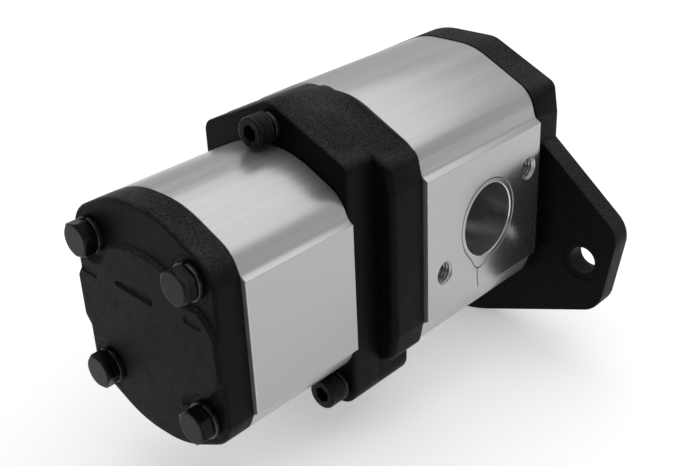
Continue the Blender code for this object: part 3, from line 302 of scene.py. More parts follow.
def cast_iron():
    """Blackened cast skin of fine grain; faces that point up also get a coarse pebble, with pale specks on
    them as a painted highlight of the overhead lamp's glints.
    """
    made = finish_of("blackened_cast_iron", stretch=(900, 900, 900),
                     colours=((0.002, 0.002, 0.0021), (0.005, 0.005, 0.0053)),
                     roughness=(0.42, 0.56), metallic=0.0, relief=0.06, specular=0.075)
    tree = made.node_tree
    paint = tree.nodes["Principled BSDF"]
    skin = paint.inputs["Base Color"].links[0].from_socket
    place = shader_node(tree, "TexCoord").outputs["Object"]
    facing = shader_node(tree, "NewGeometry").outputs["Normal"]
    upward = shader_node(tree, "SeparateXYZ", {"Vector": facing}).outputs["Z"]
    pebble = noise(tree, place, 1300.0, 2.0)
    patch = ramp(tree, noise(tree, place, 26.0, 2.0), 0.42, 0.62)
    share = reckoned(tree, "MULTIPLY", patch, ramp(tree, upward, 0.2, 0.75, low=0.05))
    coarse = shader_node(tree, "Bump", {"Height": reckoned(tree, "MULTIPLY", pebble, share),
                                        "Distance": 2.4 * MM, "Normal": tree.nodes["Bump"].outputs["Normal"]})
    tree.links.new(coarse.outputs["Normal"], paint.inputs["Normal"])
    # Painted highlight: pale specks lighten the faces that point up, standing in for glints of the overhead
    # lamp on the cast grain.
    painted_glint_specks = coloured(tree, ramp(tree, pebble, 0.36, 0.66), (0.012, 0.0118, 0.0116), (0.044, 0.0434, 0.0428))
    tree.links.new(coloured(tree, ramp(tree, upward, 0.3, 0.8), skin, painted_glint_specks), paint.inputs["Base Color"])
    return made


CAST_IRON = cast_iron()


def fit(piece, material, slot, body, *nodes, crease=32):
    """Give a piece its finish, smooth its round faces and let it stand for CAD nodes of a body."""
    piece.data.materials.clear()
    piece.data.materials.append(material)
    piece.data.shade_smooth()
    piece.data.set_sharp_from_angle(angle=np.radians(crease))
    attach(piece, body)
    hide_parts(*nodes)


COVER_REAR_CORNERS = body_corners(half_height=59.8, half_width=48.4, crown=(14.0, 32.0), foot=33.4,
                                  middle_z=FRONT_MIDDLE_Z, corner=12.0)
sharp_corners = body_corners(half_height=60.0, half_width=49.3, crown=(15.0, 12.0), foot=31.6,
                             middle_z=FRONT_MIDDLE_Z, corner=5.0, slope=25.5, setback=2.0)
COVER_FRONT_CORNERS = np.where(COVER_REAR_CORNERS[:, :1] > 0, sharp_corners, COVER_REAR_CORNERS)


def cover_outline(inset, depth):
    """Outline of the cover: the body's at its rear, and on the inlet's side sharper towards the flange."""
    share = np.clip(-depth / FLANGE_DEPTH, 0, 1)
    return rounded(share * COVER_REAR_CORNERS + (1 - share) * COVER_FRONT_CORNERS, inset)


flange = slab("flange_casting", flange_outline, 0.0, -FLANGE_PLATE, front_edge=1.0, rear_edge=0.7)
cover_part = slab("cover_part", cover_outline, -0.02, -FLANGE_DEPTH,
                  front_edge=1.4, rear_edge=0.3, leaning=True)
pilot = turned("pilot", [(PILOT_RADIUS, INSIDE_PLATE), (PILOT_RADIUS, PILOT_LENGTH - PILOT_CHAMFER),
                         (PILOT_RADIUS - PILOT_CHAMFER, PILOT_LENGTH)], steps=192)
shape(flange, [cover_part, pilot], "UNION")
seal_bore = turned("seal_bore", [(SEAL_BORE + 1.2, PILOT_LENGTH + OVERRUN), (SEAL_BORE, PILOT_LENGTH - 0.8),
                                 (SEAL_BORE, RING_GROOVE_FRONT), (RING_GROOVE, RING_GROOVE_FRONT),
                                 (RING_GROOVE, RING_GROOVE_REAR), (SEAL_BORE, RING_GROOVE_REAR),
                                 (SEAL_BORE, SEAL_SEAT), (SHAFT_HOLE, SEAL_SEAT), (SHAFT_HOLE, -20.0)])
holes = [seal_bore]
for side in (-1, 1):
    bolt_place = side * FLANGE_BOLT_REACH * np.array([np.cos(FLANGE_TILT), -np.sin(FLANGE_TILT)])
    holes.append(hole(FLANGE_BOLT_HOLE, 0.0, -FLANGE_PLATE - OVERRUN, bolt_place, chamfer=0.4))
    holes.append(hole(BOLT_FACE, -FLANGE_PLATE, BOLT_FACE_DEPTH - FLANGE_PLATE, bolt_place))
for screw_place in BODY_SCREW_PLACES:
    mouth = PILOT_LENGTH if np.hypot(*screw_place) < PILOT_RADIUS else 0.0
    holes.append(hole(BODY_SCREW_HEAD_HOLE, mouth, BODY_SCREW_SEAT, screw_place, chamfer=0.5))
    holes.append(hole(BODY_SCREW_HOLE, INSIDE_PLATE, -FLANGE_DEPTH - OVERRUN, screw_place))
for dowel_place in FRONT_DOWEL_PLACES:
    holes.append(hole(FRONT_DOWEL_HOLE, -FLANGE_DEPTH, FRONT_DOWEL_TOP, dowel_place))
shape(flange, holes)
fit(flange, CAST_IRON, "cast_black", "housing", "mounting_flange")

# Shaft seal and retaining ring
# A rubber lip seal round the shaft, held in the flange's bore by a sprung steel ring.
# The seal is moulded, the ring is stamped and has an eye for pliers at each end.

RING_OPENING = np.radians(36)
RING_EYE_REACH, RING_EYE_ANGLE, RING_EYE_HOLE = 19.2, np.radians(6), 0.9
RUBBER = finish_of("black_rubber", stretch=(1500, 1500, 1500),
                   colours=((0.012, 0.012, 0.012), (0.03, 0.03, 0.03)),
                   roughness=(0.6, 0.8), metallic=0.0, relief=0.02)
RING_STEEL = finish_of("ring_steel", stretch=(700, 700, 700),
                       colours=((0.10, 0.10, 0.11), (0.22, 0.22, 0.23)),
                       roughness=(0.3, 0.45), metallic=1.0, relief=0.01)
seal_profile = rounded([(19.7, -1.7, 0.4), (19.7, 6.3, 0.6), (17.2, 6.3, 0.4), (16.6, 5.3, 0.4),
                        (14.6, 5.6, 0.4), (13.3, 6.3, 0.3), (12.6, 1.9, 0.2), (13.4, 0.3, 0.3),
                        (14.3, -1.7, 0.4)], steps=5)
seal = turned("lip_seal", seal_profile, closed=True)
fit(seal, RUBBER, "seal_rubber", "housing", "shaft_seal")


def split_hoop(name, section, opening, place=(0.0, 0.0)):
    """Section (radius, depth) carried round a line along Y, all but an opening at the top."""
    angle = np.linspace(np.pi / 2 + opening / 2, 5 * np.pi / 2 - opening / 2, 120)[:, None]
    radius, depth = section.T[:, None]
    across = place[0] + radius * np.cos(angle)
    upward = place[1] + radius * np.sin(angle)
    return loft(name, np.stack([across, np.broadcast_to(depth, across.shape), upward], axis=-1))


ring_section = rounded([(21.0, 6.9, 0.2), (21.0, 8.4, 0.2), (17.8, 8.4, 0.2), (17.8, 6.9, 0.2)], steps=4)
ring = split_hoop("snap_ring", ring_section, RING_OPENING)
for side in (-1, 1):
    eye_angle = np.pi / 2 + side * (RING_OPENING / 2 + RING_EYE_ANGLE)
    eye_place = RING_EYE_REACH * np.array([np.cos(eye_angle), np.sin(eye_angle)])
    shape(ring, [hole(RING_EYE_HOLE, start=9.0, end=6.0, place=eye_place)])
fit(ring, RING_STEEL, "gear_steel", "housing", "seal_retaining_ring")

# Gear shafts
# Each shaft and its twelve-tooth gear are one ground forging; the drive shafts also have splined ends.
# The front one leaves the flange as a plain end with a round-ended key.

GROUND_STEEL = finish_of("ground_steel", stretch=(260, 900, 260),
                         colours=((0.36, 0.36, 0.37), (0.52, 0.52, 0.53)),
                         roughness=(0.18, 0.28), metallic=1.0, relief=0.0006)
TOOTH_COUNT = 12
PRESSURE_ANGLE = np.radians(24)
TOOTH_TIP, TOOTH_ROOT = 0.94, 1.12
HALF_BACKLASH = 0.1
TOOTH_EASE, EASE_DEPTH = 0.985, 0.4
FRONT_SPACING, FRONT_GEAR = 38.0, (-37.55, -73.55)
REAR_SPACING, REAR_GEAR = 32.0, (-145.9, -165.9)
SPLINE_COUNT, SPLINE_ROOT, SPLINE_TIP = 8, 7.0, 8.5
JOURNAL_EDGE = 0.25


def gear_outline(spacing, phase):
    """Involute teeth: at radius r the flank leans inv(24 deg) - inv(acos(base / r)) from the pitch point."""
    pitch = spacing / 2
    module = spacing / TOOTH_COUNT
    base = pitch * np.cos(PRESSURE_ANGLE)
    radii = np.linspace(base, pitch + TOOTH_TIP * module, 9)
    pressure = np.arccos(base / radii)
    half_tooth = np.pi / (2 * TOOTH_COUNT) - HALF_BACKLASH / pitch
    lean = half_tooth + np.tan(PRESSURE_ANGLE) - PRESSURE_ANGLE - (np.tan(pressure) - pressure)
    radii = np.append(pitch - TOOTH_ROOT * module, radii)
    lean = np.append(lean[0], lean)
    swing = np.concatenate([-lean, lean[::-1]])
    reach = np.tile(np.concatenate([radii, radii[::-1]]), TOOTH_COUNT)
    teeth = phase + np.arange(TOOTH_COUNT) * 2 * np.pi / TOOTH_COUNT
    angle = (teeth[:, None] + swing).ravel()
    return np.column_stack([reach * np.cos(angle), reach * np.sin(angle)])


def splines(front, rear):
    """Shaft end with tapered splines: each rises and falls between shares of one step round the shaft."""
    step = 2 * np.pi / SPLINE_COUNT
    angle = ((np.arange(SPLINE_COUNT)[:, None] + np.array([-0.28, -0.22, 0.22, 0.28])) * step).ravel()
    reach = np.tile([SPLINE_ROOT, SPLINE_TIP, SPLINE_TIP, SPLINE_ROOT], SPLINE_COUNT)
    outline = np.column_stack([reach * np.cos(angle), reach * np.sin(angle)])
    return loft("splines", [at_depth(outline, depth) for depth in (front, rear)])


def gear_shaft(name, journal, spacing, gear, height, phase):
    """Turned journal with the toothed part joined to it; the teeth are eased at both faces."""
    edges = [(*spot, JOURNAL_EDGE) for spot in journal]
    corners = [(0.0, journal[0][1], 0.0), *edges, (0.0, journal[-1][1], 0.0)]
    profile = rounded(corners, steps=4, closed=False)
    piece = turned(name, profile[1:-1], (0.0, height))
    outline = gear_outline(spacing, phase)
    eased = outline * TOOTH_EASE
    rows = ((eased, gear[0]), (outline, gear[0] - EASE_DEPTH),
            (outline, gear[1] + EASE_DEPTH), (eased, gear[1]))
    rings = [at_depth(row + (0.0, height), depth) for row, depth in rows]
    shape(piece, [loft("teeth", rings)], "UNION")
    return piece


DRIVE_PHASE = np.pi / 2
DRIVE_JOURNAL = [(9.6, 41.2), (11.11, 39.7), (11.11, 11.2), (12.0, 9.7), (12.0, -94.4)]
drive_shaft = gear_shaft("drive_shaft", DRIVE_JOURNAL, FRONT_SPACING, FRONT_GEAR, 0.0, DRIVE_PHASE)
shape(drive_shaft, [splines(front=-93.0, rear=-106.4)], "UNION")
KEY_FAR, KEY_NEAR, KEY_HALF = 35.025, 16.375, 3.175
KEY_FOOT, KEY_TOP, KEY_EDGE = 7.91, 14.26, 0.3
KEYWAY_GAP, KEYWAY_TOP = 0.3, 20.0


def key_level(half, height):
    """Round-ended key seen from above, at a height."""
    swing = np.linspace(0, np.pi, 24)
    far = np.column_stack([half * np.cos(swing), KEY_FAR + half * np.sin(swing)])
    near = np.column_stack([-half * np.cos(swing), KEY_NEAR - half * np.sin(swing)])
    return np.insert(np.vstack([far, near]), 2, height, axis=1)


keyway = loft("keyway", [key_level(KEY_HALF + KEYWAY_GAP, height)
                         for height in (KEY_FOOT - KEYWAY_GAP, KEYWAY_TOP)])
centre_drill = turned("centre_drill", [(4.2, 41.8), (3.6, 41.2), (1.4, 37.6), (1.4, 34.0)], steps=48)
shape(drive_shaft, [keyway, centre_drill])
fit(drive_shaft, GROUND_STEEL, "gear_steel", "drive_train", "drive_gear_shaft")

key = loft("key", [key_level(KEY_HALF - KEY_EDGE, KEY_FOOT), key_level(KEY_HALF, KEY_FOOT + KEY_EDGE),
                   key_level(KEY_HALF, KEY_TOP - KEY_EDGE), key_level(KEY_HALF - KEY_EDGE, KEY_TOP)])
fit(key, GROUND_STEEL, "gear_steel", "drive_train", "shaft_key")

REAR_DRIVE_JOURNAL = [(9.5, -128.9), (9.5, -181.4), (8.0, -182.9)]
rear_drive = gear_shaft("rear_drive_shaft", REAR_DRIVE_JOURNAL, REAR_SPACING, REAR_GEAR, 0.0, DRIVE_PHASE)
shape(rear_drive, [splines(front=-116.9, rear=-130.0)], "UNION")
fit(rear_drive, GROUND_STEEL, "gear_steel", "drive_train", "rear_drive_gear_shaft")

DRIVEN_PHASE = -np.pi / 2 + np.pi / TOOTH_COUNT
DRIVEN_JOURNAL = [(10.5, -16.7), (12.0, -18.2), (12.0, -92.9), (10.5, -94.4)]
driven = gear_shaft("driven_shaft", DRIVEN_JOURNAL, FRONT_SPACING, FRONT_GEAR, FRONT_SPACING, DRIVEN_PHASE)
fit(driven, GROUND_STEEL, "gear_steel", "front_driven", "driven_gear_shaft")
REAR_DRIVEN_JOURNAL = [(8.0, -128.9), (9.5, -130.4), (9.5, -181.4), (8.0, -182.9)]
rear_driven = gear_shaft("rear_driven_shaft", REAR_DRIVEN_JOURNAL, REAR_SPACING, REAR_GEAR,
                         REAR_SPACING, DRIVEN_PHASE)
fit(rear_driven, GROUND_STEEL, "gear_steel", "rear_driven", "rear_driven_gear_shaft")


def repaint(material, *names):
    """Give CAD nodes that stay as they are a better finish."""
    for name in names:
        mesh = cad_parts[name].data
        mesh.materials.clear()
        mesh.materials.append(material)


repaint(GROUND_STEEL, "coupling_sleeve")

# Bearing blocks, bushes and seals inside the bodies
# The blocks are die-cast aluminium with pressed-in bronze bushes; a seal lies in a groove of each block.
# Square-section rubber rings close the joints between the stacked pieces.

SECTIONS, ENDS, SHAFTS = ("front", "rear"), ("fore", "aft"), ("drive", "driven")
BEARING_ALLOY = finish_of("bearing_alloy", stretch=(500, 300, 500),
                          colours=((0.48, 0.47, 0.45), (0.66, 0.65, 0.62)),
                          roughness=(0.28, 0.45), metallic=1.0, relief=0.01)
BRONZE = finish_of("bush_bronze", stretch=(300, 900, 300),
                   colours=((0.42, 0.26, 0.10), (0.60, 0.40, 0.18)),
                   roughness=(0.22, 0.4), metallic=1.0, relief=0.006)
RED_SEAL = finish_of("pressure_seal", stretch=(1200, 1200, 1200),
                     colours=((0.16, 0.025, 0.015), (0.30, 0.06, 0.04)),
                     roughness=(0.45, 0.65), metallic=0.0, relief=0.01)
for section in SECTIONS:
    repaint(BEARING_ALLOY, *(f"{section}_bearing_block_{end}" for end in ENDS))
    repaint(RED_SEAL, *(f"{section}_pressure_seal_{end}" for end in ENDS))
    repaint(RUBBER, *(f"{section}_body_seal_{end}" for end in ENDS))
    repaint(BRONZE, *(f"{section}_bush_{end}_{shaft}" for end in ENDS for shaft in SHAFTS))
repaint(RUBBER, "interface_seal")

# Body of the large section
# A length of drawn aluminium section, sawn and faced; each side has a milled pad with a bolted port.
# A fine dark groove runs round the bored inlet and down to the lower edge of its pad.

FRONT_FACE, FRONT_END, FRONT_PAD = -16.4, -94.7, 50.8
FRONT_CHAMBER = 22.377
INLET = (-54.15, FRONT_MIDDLE_Z)
INLET_BORE, INLET_CHAMFER = 16.0, 0.4
OUTLET = (-55.55, FRONT_MIDDLE_Z)
OUTLET_BORE, OUTLET_CHAMFER = 12.5, 0.7
INLET_BOLT, OUTLET_BOLT = np.array([29.4, 13.0]), np.array([26.2, 13.1])
FEED_PLACE, FEED_HOLE = (34.0, FRONT_MIDDLE_Z), 8.0
FRONT_DOWEL_FOOT = -23.7
PAD_CORNER = 0.35
GROOVE_RADIUS, GROOVE_BULGE = 18.2, 3.4
GROOVE_STEM, GROOVE_BULGE_WIDTH = 252.0, 15.0
GROOVE_SECTION = np.array([(0.03, -0.45), (-0.27, 0.0), (0.03, 0.45), (1.0, 0.0)])
GROOVE_OVAL = (24.0, 31.2)


def aluminium():
    """Drawn aluminium: lines along the shaft, fine milling on the pads, a turned inlet, a dark groove."""
    made = finish_of("drawn_aluminium", stretch=(420, 7, 420),
                     colours=((0.48, 0.482, 0.484), (0.545, 0.547, 0.549)),
                     roughness=(0.28, 0.35), metallic=0.72, relief=0.003)
    tree = made.node_tree
    paint, lines = tree.nodes["Principled BSDF"], tree.nodes["Bump"]
    skin = paint.inputs["Base Color"].links[0].from_socket
    drawn = paint.inputs["Roughness"].links[0].from_socket
    place = shader_node(tree, "TexCoord").outputs["Object"]
    outward = shader_node(tree, "SeparateXYZ", {"Vector": place}).outputs["X"]
    facing = shader_node(tree, "NewGeometry").outputs["Normal"]
    sideways = shader_node(tree, "SeparateXYZ", {"Vector": facing}).outputs["X"]
    inlet = (0, INLET[0] * MM, INLET[1] * MM)
    offset = shader_node(tree, "VectorMath", {0: place, 1: inlet}, operation="SUBTRACT").outputs["Vector"]

    def reach(across, upward):
        """Distance from the inlet's axis, in shares of two half axes."""
        given = {0: offset, 1: (0, 1 / across, 1 / upward)}
        shares = shader_node(tree, "VectorMath", given, operation="MULTIPLY").outputs["Vector"]
        return shader_node(tree, "VectorMath", {0: shares}, operation="LENGTH").outputs["Value"]

    squarely = shader_node(tree, "Math", {0: sideways}, operation="ABSOLUTE").outputs[0]
    milled = ramp(tree, squarely, 0.985, 0.995)
    bored = ramp(tree, reach(1, 1), (INLET_BORE + 0.6) * MM, (INLET_BORE + 0.45) * MM)
    cut = reckoned(tree, "MAXIMUM", milled, bored)
    grit = noise(tree, stretched(tree, place, (1, 1500, 900)), 1.0, 3.0)
    satin = shader_node(tree, "Mix", {0: cut, 2: drawn, 3: ramp(tree, grit, 0.0, 1.0, 0.214, 0.218)})
    tree.links.new(satin.outputs[0], paint.inputs["Roughness"])
    tree.links.new(ramp(tree, cut, 0.0, 1.0, 0.72, 0.93), paint.inputs["Metallic"])
    tree.links.new(reckoned(tree, "SUBTRACT", 1.0, cut), lines.inputs["Strength"])
    marks = noise(tree, stretched(tree, place, (3000, 0, 0)), 1.0, 1.0)
    turning = shader_node(tree, "Bump", {"Height": reckoned(tree, "MULTIPLY", marks, bored),
                                         "Distance": 0.07 * MM, "Normal": lines.outputs["Normal"]})
    tree.links.new(turning.outputs["Normal"], paint.inputs["Normal"])

    pad = coloured(tree, grit, (0.40, 0.405, 0.407), (0.425, 0.43, 0.432))
    bare = coloured(tree, bored, coloured(tree, cut, skin, pad), (0.68, 0.685, 0.69))
    # Dark brownish grey inside the groove: only where the surface lies below the pad face, on the inlet side
    # and near the inlet.
    groove_darkening = reckoned(tree, "SUBTRACT", 1.0, bored)
    sunk = ramp(tree, outward, (FRONT_PAD - 0.03) * MM, (FRONT_PAD - 0.12) * MM)
    inlet_side = ramp(tree, outward, 49 * MM, 50 * MM)
    near = ramp(tree, reach(GROOVE_OVAL[0] * MM, GROOVE_OVAL[1] * MM), 1.0, 0.99)
    for mask in (sunk, inlet_side, near):
        groove_darkening = reckoned(tree, "MULTIPLY", groove_darkening, mask)
    tree.links.new(coloured(tree, groove_darkening, bare, (0.16, 0.15, 0.125)), paint.inputs["Base Color"])
    return made


ALUMINIUM = aluminium()


def padded_corners(corners, pad_x, pad_z, middle_z):
    """Outline corners with a raised pad on each side."""
    right = [(pad_x, middle_z - pad_z, PAD_CORNER), (pad_x, middle_z + pad_z, PAD_CORNER)]
    left = [(-pad_x, middle_z + pad_z, PAD_CORNER), (-pad_x, middle_z - pad_z, PAD_CORNER)]
    return np.vstack([right, corners[:6], left, corners[6:]])


def chamber(radius, spacing, front, rear):
    """Cutter for two round gear bores that run into each other."""
    waist = np.arccos(spacing / 2 / radius)
    upper = np.linspace(waist - np.pi / 2, 3 * np.pi / 2 - waist, 64)[:-1]
    lower = np.linspace(np.pi / 2 + waist, 5 * np.pi / 2 - waist, 64)[:-1]
    outline = np.vstack([np.column_stack([radius * np.cos(upper), spacing + radius * np.sin(upper)]),
                         np.column_stack([radius * np.cos(lower), radius * np.sin(lower)])])
    return loft("chamber", [at_depth(outline, depth) for depth in (front + OVERRUN, rear - OVERRUN)])


def tapped_hole(side, pad, place, root, crest, pitch, depth):
    """Cutter for a threaded hole along X: its radius goes from crest to root and back once a pitch.

    The pattern moves on by one pitch in each turn.
    """
    angle = np.linspace(0, 2 * np.pi, 60, endpoint=False)
    along = np.arange(0.0, depth, pitch / 8)[:, None]
    phase = (along / pitch - side * angle / (2 * np.pi)) % 1.0
    radius = crest + (root - crest) * np.clip(1.25 - np.abs(4 * phase - 2), 0, 1)
    mouth = np.maximum(radius, root + 0.2 - along)
    width = side * (pad - along) + 0 * angle
    rings = np.stack([width, place[0] + mouth * np.cos(angle), place[1] + mouth * np.sin(angle)], axis=-1)
    lead = rings[:1] + (side * OVERRUN, 0, 0)
    return loft("tap", np.concatenate([lead, rings]))


def port_groove():
    """Cutters for a fine V groove: a ring about the inlet, drawn out to a stem to the pad's lower edge.

    The ring's radius is R + b exp(-(a / w)^2): a bulge b of width w on R, at a degrees from the stem.
    """
    angle = np.radians(np.arange(0.0, 360.0, 2.0))
    turn = (np.degrees(angle) - GROOVE_STEM) / GROOVE_BULGE_WIDTH
    radius = GROOVE_RADIUS + GROOVE_BULGE * np.exp(-turn ** 2)
    rise, width = GROOVE_SECTION.T
    out = radius[:, None] + width
    ring = np.stack([FRONT_PAD + rise + 0 * out, INLET[0] + out * np.cos(angle)[:, None],
                     INLET[1] + out * np.sin(angle)[:, None]], axis=-1)
    stem = [np.column_stack([FRONT_PAD + rise, INLET[0] + lean + 1.3 * width, np.full(4, INLET[1] - drop)])
            for lean, drop in ((-6.9, 20.8), (-7.1, 25.0), (-5.7, 33.0))]
    return [loft("ring", ring, closed=True), loft("stem", stem)]


front_outline = body_corners(half_height=59.5, half_width=48.0, crown=(14.0, 32.0), foot=33.2,
                             middle_z=FRONT_MIDDLE_Z, corner=14.0, hollow=2.6)
front_corners = padded_corners(front_outline, FRONT_PAD, pad_z=31.6, middle_z=FRONT_MIDDLE_Z)
front_body = slab("large_body", lambda inset: rounded(front_corners, inset), FRONT_FACE, FRONT_END,
                  front_edge=0.35, rear_edge=0.35)
cuts = [chamber(FRONT_CHAMBER, FRONT_SPACING, FRONT_FACE, FRONT_END), *port_groove(),
        hole(INLET_BORE, FRONT_PAD, 0.0, INLET, INLET_CHAMFER, "X"),
        hole(OUTLET_BORE, -FRONT_PAD, 0.0, OUTLET, OUTLET_CHAMFER, "X"),
        hole(FEED_HOLE, FRONT_END, INLET[0], FEED_PLACE)]
for way in (-1, 1):
    for side, port, bolt in ((1, INLET, INLET_BOLT), (-1, OUTLET, OUTLET_BOLT)):
        cuts.append(tapped_hole(side, FRONT_PAD, port + way * bolt,
                                root=5.0, crest=4.25, pitch=1.5, depth=20.0))
for screw_place in BODY_SCREW_PLACES:
    cuts.append(hole(BODY_SCREW_HOLE, FRONT_FACE, FRONT_END - OVERRUN, screw_place))
for dowel_place in FRONT_DOWEL_PLACES:
    cuts.append(hole(FRONT_DOWEL_HOLE, FRONT_FACE, FRONT_DOWEL_FOOT, dowel_place))
shape(front_body, cuts)
fit(front_body, ALUMINIUM, "aluminium", "housing", "front_body", crease=25)

# Middle block: end cover of the large section and flange of the small one
# Two iron castings clamped face to face; three lugs round the small body take the screws.
# Both are blackened as cast, the end cover's rim well rounded.

COVER_FACE, COVER_END = -95.0, -113.0
PLATE_FACE, PLATE_END = -113.3, -128.3
TOP_LUG, TOP_LUG_RADIUS, TOP_LUG_DRAFT = (0.0, 73.0), 9.5, 2.9
LOW_LUGS, LOW_LUG_RADIUS = [(-30.3, -33.5), (30.3, -33.5)], 9.0
SHOULDER, SHOULDER_RADIUS = (33.6, 61.6), 5.8
COUPLING_BORE = 13.06
SMALL_FEED_X, SMALL_FEED_HOLE = 28.5, 6.0
FEED_PASSAGE = (31.2, 17.5)
TAPPED_M8, CLEAR_M8, TAPPED_M10 = 4.3, 4.5, 5.3
BODY_SCREW_FOOT, PLATE_SCREW_FOOT, COVER_BOLT_FOOT = -107.3, -100.7, -116.0
REAR_DOWEL_HOLE, REAR_DOWEL_TOP = 2.8, -121.3
SHAFT_LINE = (0.0, 0.0)


def lug_outline(inset, top_drop=0.0):
    """Belt pulled round five circles: arcs joined by their common tangents."""
    circles = np.array([(*LOW_LUGS[1], LOW_LUG_RADIUS), (*SHOULDER, SHOULDER_RADIUS),
                        (TOP_LUG[0], TOP_LUG[1] - top_drop, TOP_LUG_RADIUS),
                        (-SHOULDER[0], SHOULDER[1], SHOULDER_RADIUS), (*LOW_LUGS[0], LOW_LUG_RADIUS)])
    place, radius = circles[:, :2], circles[:, 2] - inset
    along = np.roll(place, -1, axis=0) - place
    lean = np.arccos((radius - np.roll(radius, -1)) / np.linalg.norm(along, axis=1))
    leave = np.arctan2(along[:, 1], along[:, 0]) - lean
    first = np.roll(leave, 1)
    angle = first[:, None] + ((leave - first) % (2 * np.pi))[:, None] * np.linspace(0, 1, 16)
    arcs = place[:, None] + radius[:, None, None] * np.stack([np.cos(angle), np.sin(angle)], axis=-1)
    return arcs.reshape(-1, 2)


end_corners = body_corners(half_height=59.2, half_width=48.6, crown=(11.0, 10.0), foot=31.6,
                           middle_z=FRONT_MIDDLE_Z, corner=6.0, slope=24.5, setback=2.4)
end_cover = slab("end_cover_casting", lambda inset: rounded(end_corners, inset), COVER_FACE, COVER_END,
                 front_edge=0.4, rear_edge=2.6)
lug_rings = [at_depth(lug_outline(inset, drop), depth) for inset, drop, depth in
             ((0.4, TOP_LUG_DRAFT, COVER_FACE - 0.02), (0.0, TOP_LUG_DRAFT, COVER_FACE - 0.42),
              (0.0, 0.0, COVER_END + 0.3), (0.05, 0.0, COVER_END - 0.13))]
shape(end_cover, [loft("lugs", lug_rings)], "UNION")
passage_profile = [(FEED_HOLE, COVER_FACE + OVERRUN), (SMALL_FEED_HOLE, COVER_END - OVERRUN)]
cuts = [hole(COUPLING_BORE, COVER_FACE, COVER_END - OVERRUN, SHAFT_LINE),
        turned("passage", passage_profile, FEED_PASSAGE)]
for screw_place in BODY_SCREW_PLACES:
    cuts.append(hole(TAPPED_M10, COVER_FACE, BODY_SCREW_FOOT, screw_place))
for screw_place in [TOP_LUG, *LOW_LUGS]:
    cuts.append(hole(TAPPED_M8, COVER_END, PLATE_SCREW_FOOT, screw_place))
shape(end_cover, cuts)
fit(end_cover, CAST_IRON, "cast_black", "housing", "front_end_cover")

REAR_MIDDLE_Z = 16.0
COVER_BOLT_PLACES = [(x, REAR_MIDDLE_Z + up) for up in (29.0, -29.0) for x in (-28.0, 28.0)]
REAR_DOWEL_PLACES = [(-20.0, 54.0), (20.0, -22.0)]
SMALL_FEED = (SMALL_FEED_X, REAR_MIDDLE_Z)
plate = slab("small_flange_casting", lug_outline, PLATE_FACE + 0.13, PLATE_END,
             front_edge=0.05, rear_edge=1.2)
cuts = [hole(COUPLING_BORE, PLATE_FACE, PLATE_END - OVERRUN, SHAFT_LINE),
        hole(SMALL_FEED_HOLE, PLATE_FACE, PLATE_END - OVERRUN, SMALL_FEED)]
for screw_place in [TOP_LUG, *LOW_LUGS]:
    cuts.append(hole(CLEAR_M8, PLATE_FACE, PLATE_END - OVERRUN, screw_place))
for bolt_place in COVER_BOLT_PLACES:
    cuts.append(hole(TAPPED_M8, PLATE_END, COVER_BOLT_FOOT, bolt_place))
for dowel_place in REAR_DOWEL_PLACES:
    cuts.append(hole(REAR_DOWEL_HOLE, PLATE_END, REAR_DOWEL_TOP, dowel_place))
shape(plate, cuts)
fit(plate, CAST_IRON, "cast_black", "housing", "rear_pump_flange")

# Body of the small section
# The same drawn aluminium, in a smaller section; its threaded outlet is on the far side.
# It is fed from the large inlet by a drilled way through the middle block.

REAR_FACE, REAR_END, REAR_PAD = -128.6, -183.2, 42.4
REAR_CHAMBER = 18.907
REAR_OUTLET, REAR_OUTLET_THROAT = (-155.9, REAR_MIDDLE_Z), 8.0
REAR_DOWEL_FOOT, SMALL_FEED_FOOT = -135.9, -161.9
small_outline = body_corners(half_height=49.5, half_width=40.0, crown=(12.5, 44.9), foot=29.0,
                             middle_z=REAR_MIDDLE_Z, corner=15.0, hollow=6.0)
rear_corners = padded_corners(small_outline, REAR_PAD, pad_z=27.6, middle_z=REAR_MIDDLE_Z)
rear_body = slab("small_body", lambda inset: rounded(rear_corners, inset), REAR_FACE, REAR_END - 0.12,
                 front_edge=0.35, rear_edge=0.5)
cuts = [chamber(REAR_CHAMBER, REAR_SPACING, REAR_FACE, REAR_END),
        tapped_hole(-1, REAR_PAD, REAR_OUTLET, root=12.0, crest=11.1, pitch=1.8, depth=15.0),
        hole(REAR_OUTLET_THROAT, -30.0, 0.0, REAR_OUTLET, axis="X"),
        hole(SMALL_FEED_HOLE, SMALL_FEED_X, 0.0, REAR_OUTLET, axis="X"),
        hole(SMALL_FEED_HOLE, REAR_FACE, SMALL_FEED_FOOT, SMALL_FEED)]
for bolt_place in COVER_BOLT_PLACES:
    cuts.append(hole(CLEAR_M8, REAR_FACE, REAR_END - OVERRUN, bolt_place))
for dowel_place in REAR_DOWEL_PLACES:
    cuts.append(hole(REAR_DOWEL_HOLE, REAR_FACE, REAR_DOWEL_FOOT, dowel_place))
shape(rear_body, cuts)
fit(rear_body, ALUMINIUM, "aluminium", "housing", "rear_body", crease=25)

# Rear cover
# Iron casting with a rounded rim; its middle is raised between two wide arches that clear the bolts.
# Blackened as cast; a gouge and two dents mark the middle, and a spot face is cut for each washer.

TAIL_FACE, TAIL_END, MIDDLE_FACE = -183.5, -195.6, -197.3
BOLT_SPOT = -195.3
ARCH_RADIUS, ARCH_DROP = 46.0, 15.0
WALL_LEAN = 0.8


def arches(inset):
    """Lens between two arches: arcs of one radius about centres as far below the middle as above it."""
    radius = ARCH_RADIUS - inset
    spring = np.arcsin(ARCH_DROP / radius)
    swing = np.linspace(spring, np.pi - spring, 90)[:-1]
    upper = np.column_stack([radius * np.cos(swing), radius * np.sin(swing) - ARCH_DROP])
    return np.vstack([upper, -upper]) + (0, REAR_MIDDLE_Z)


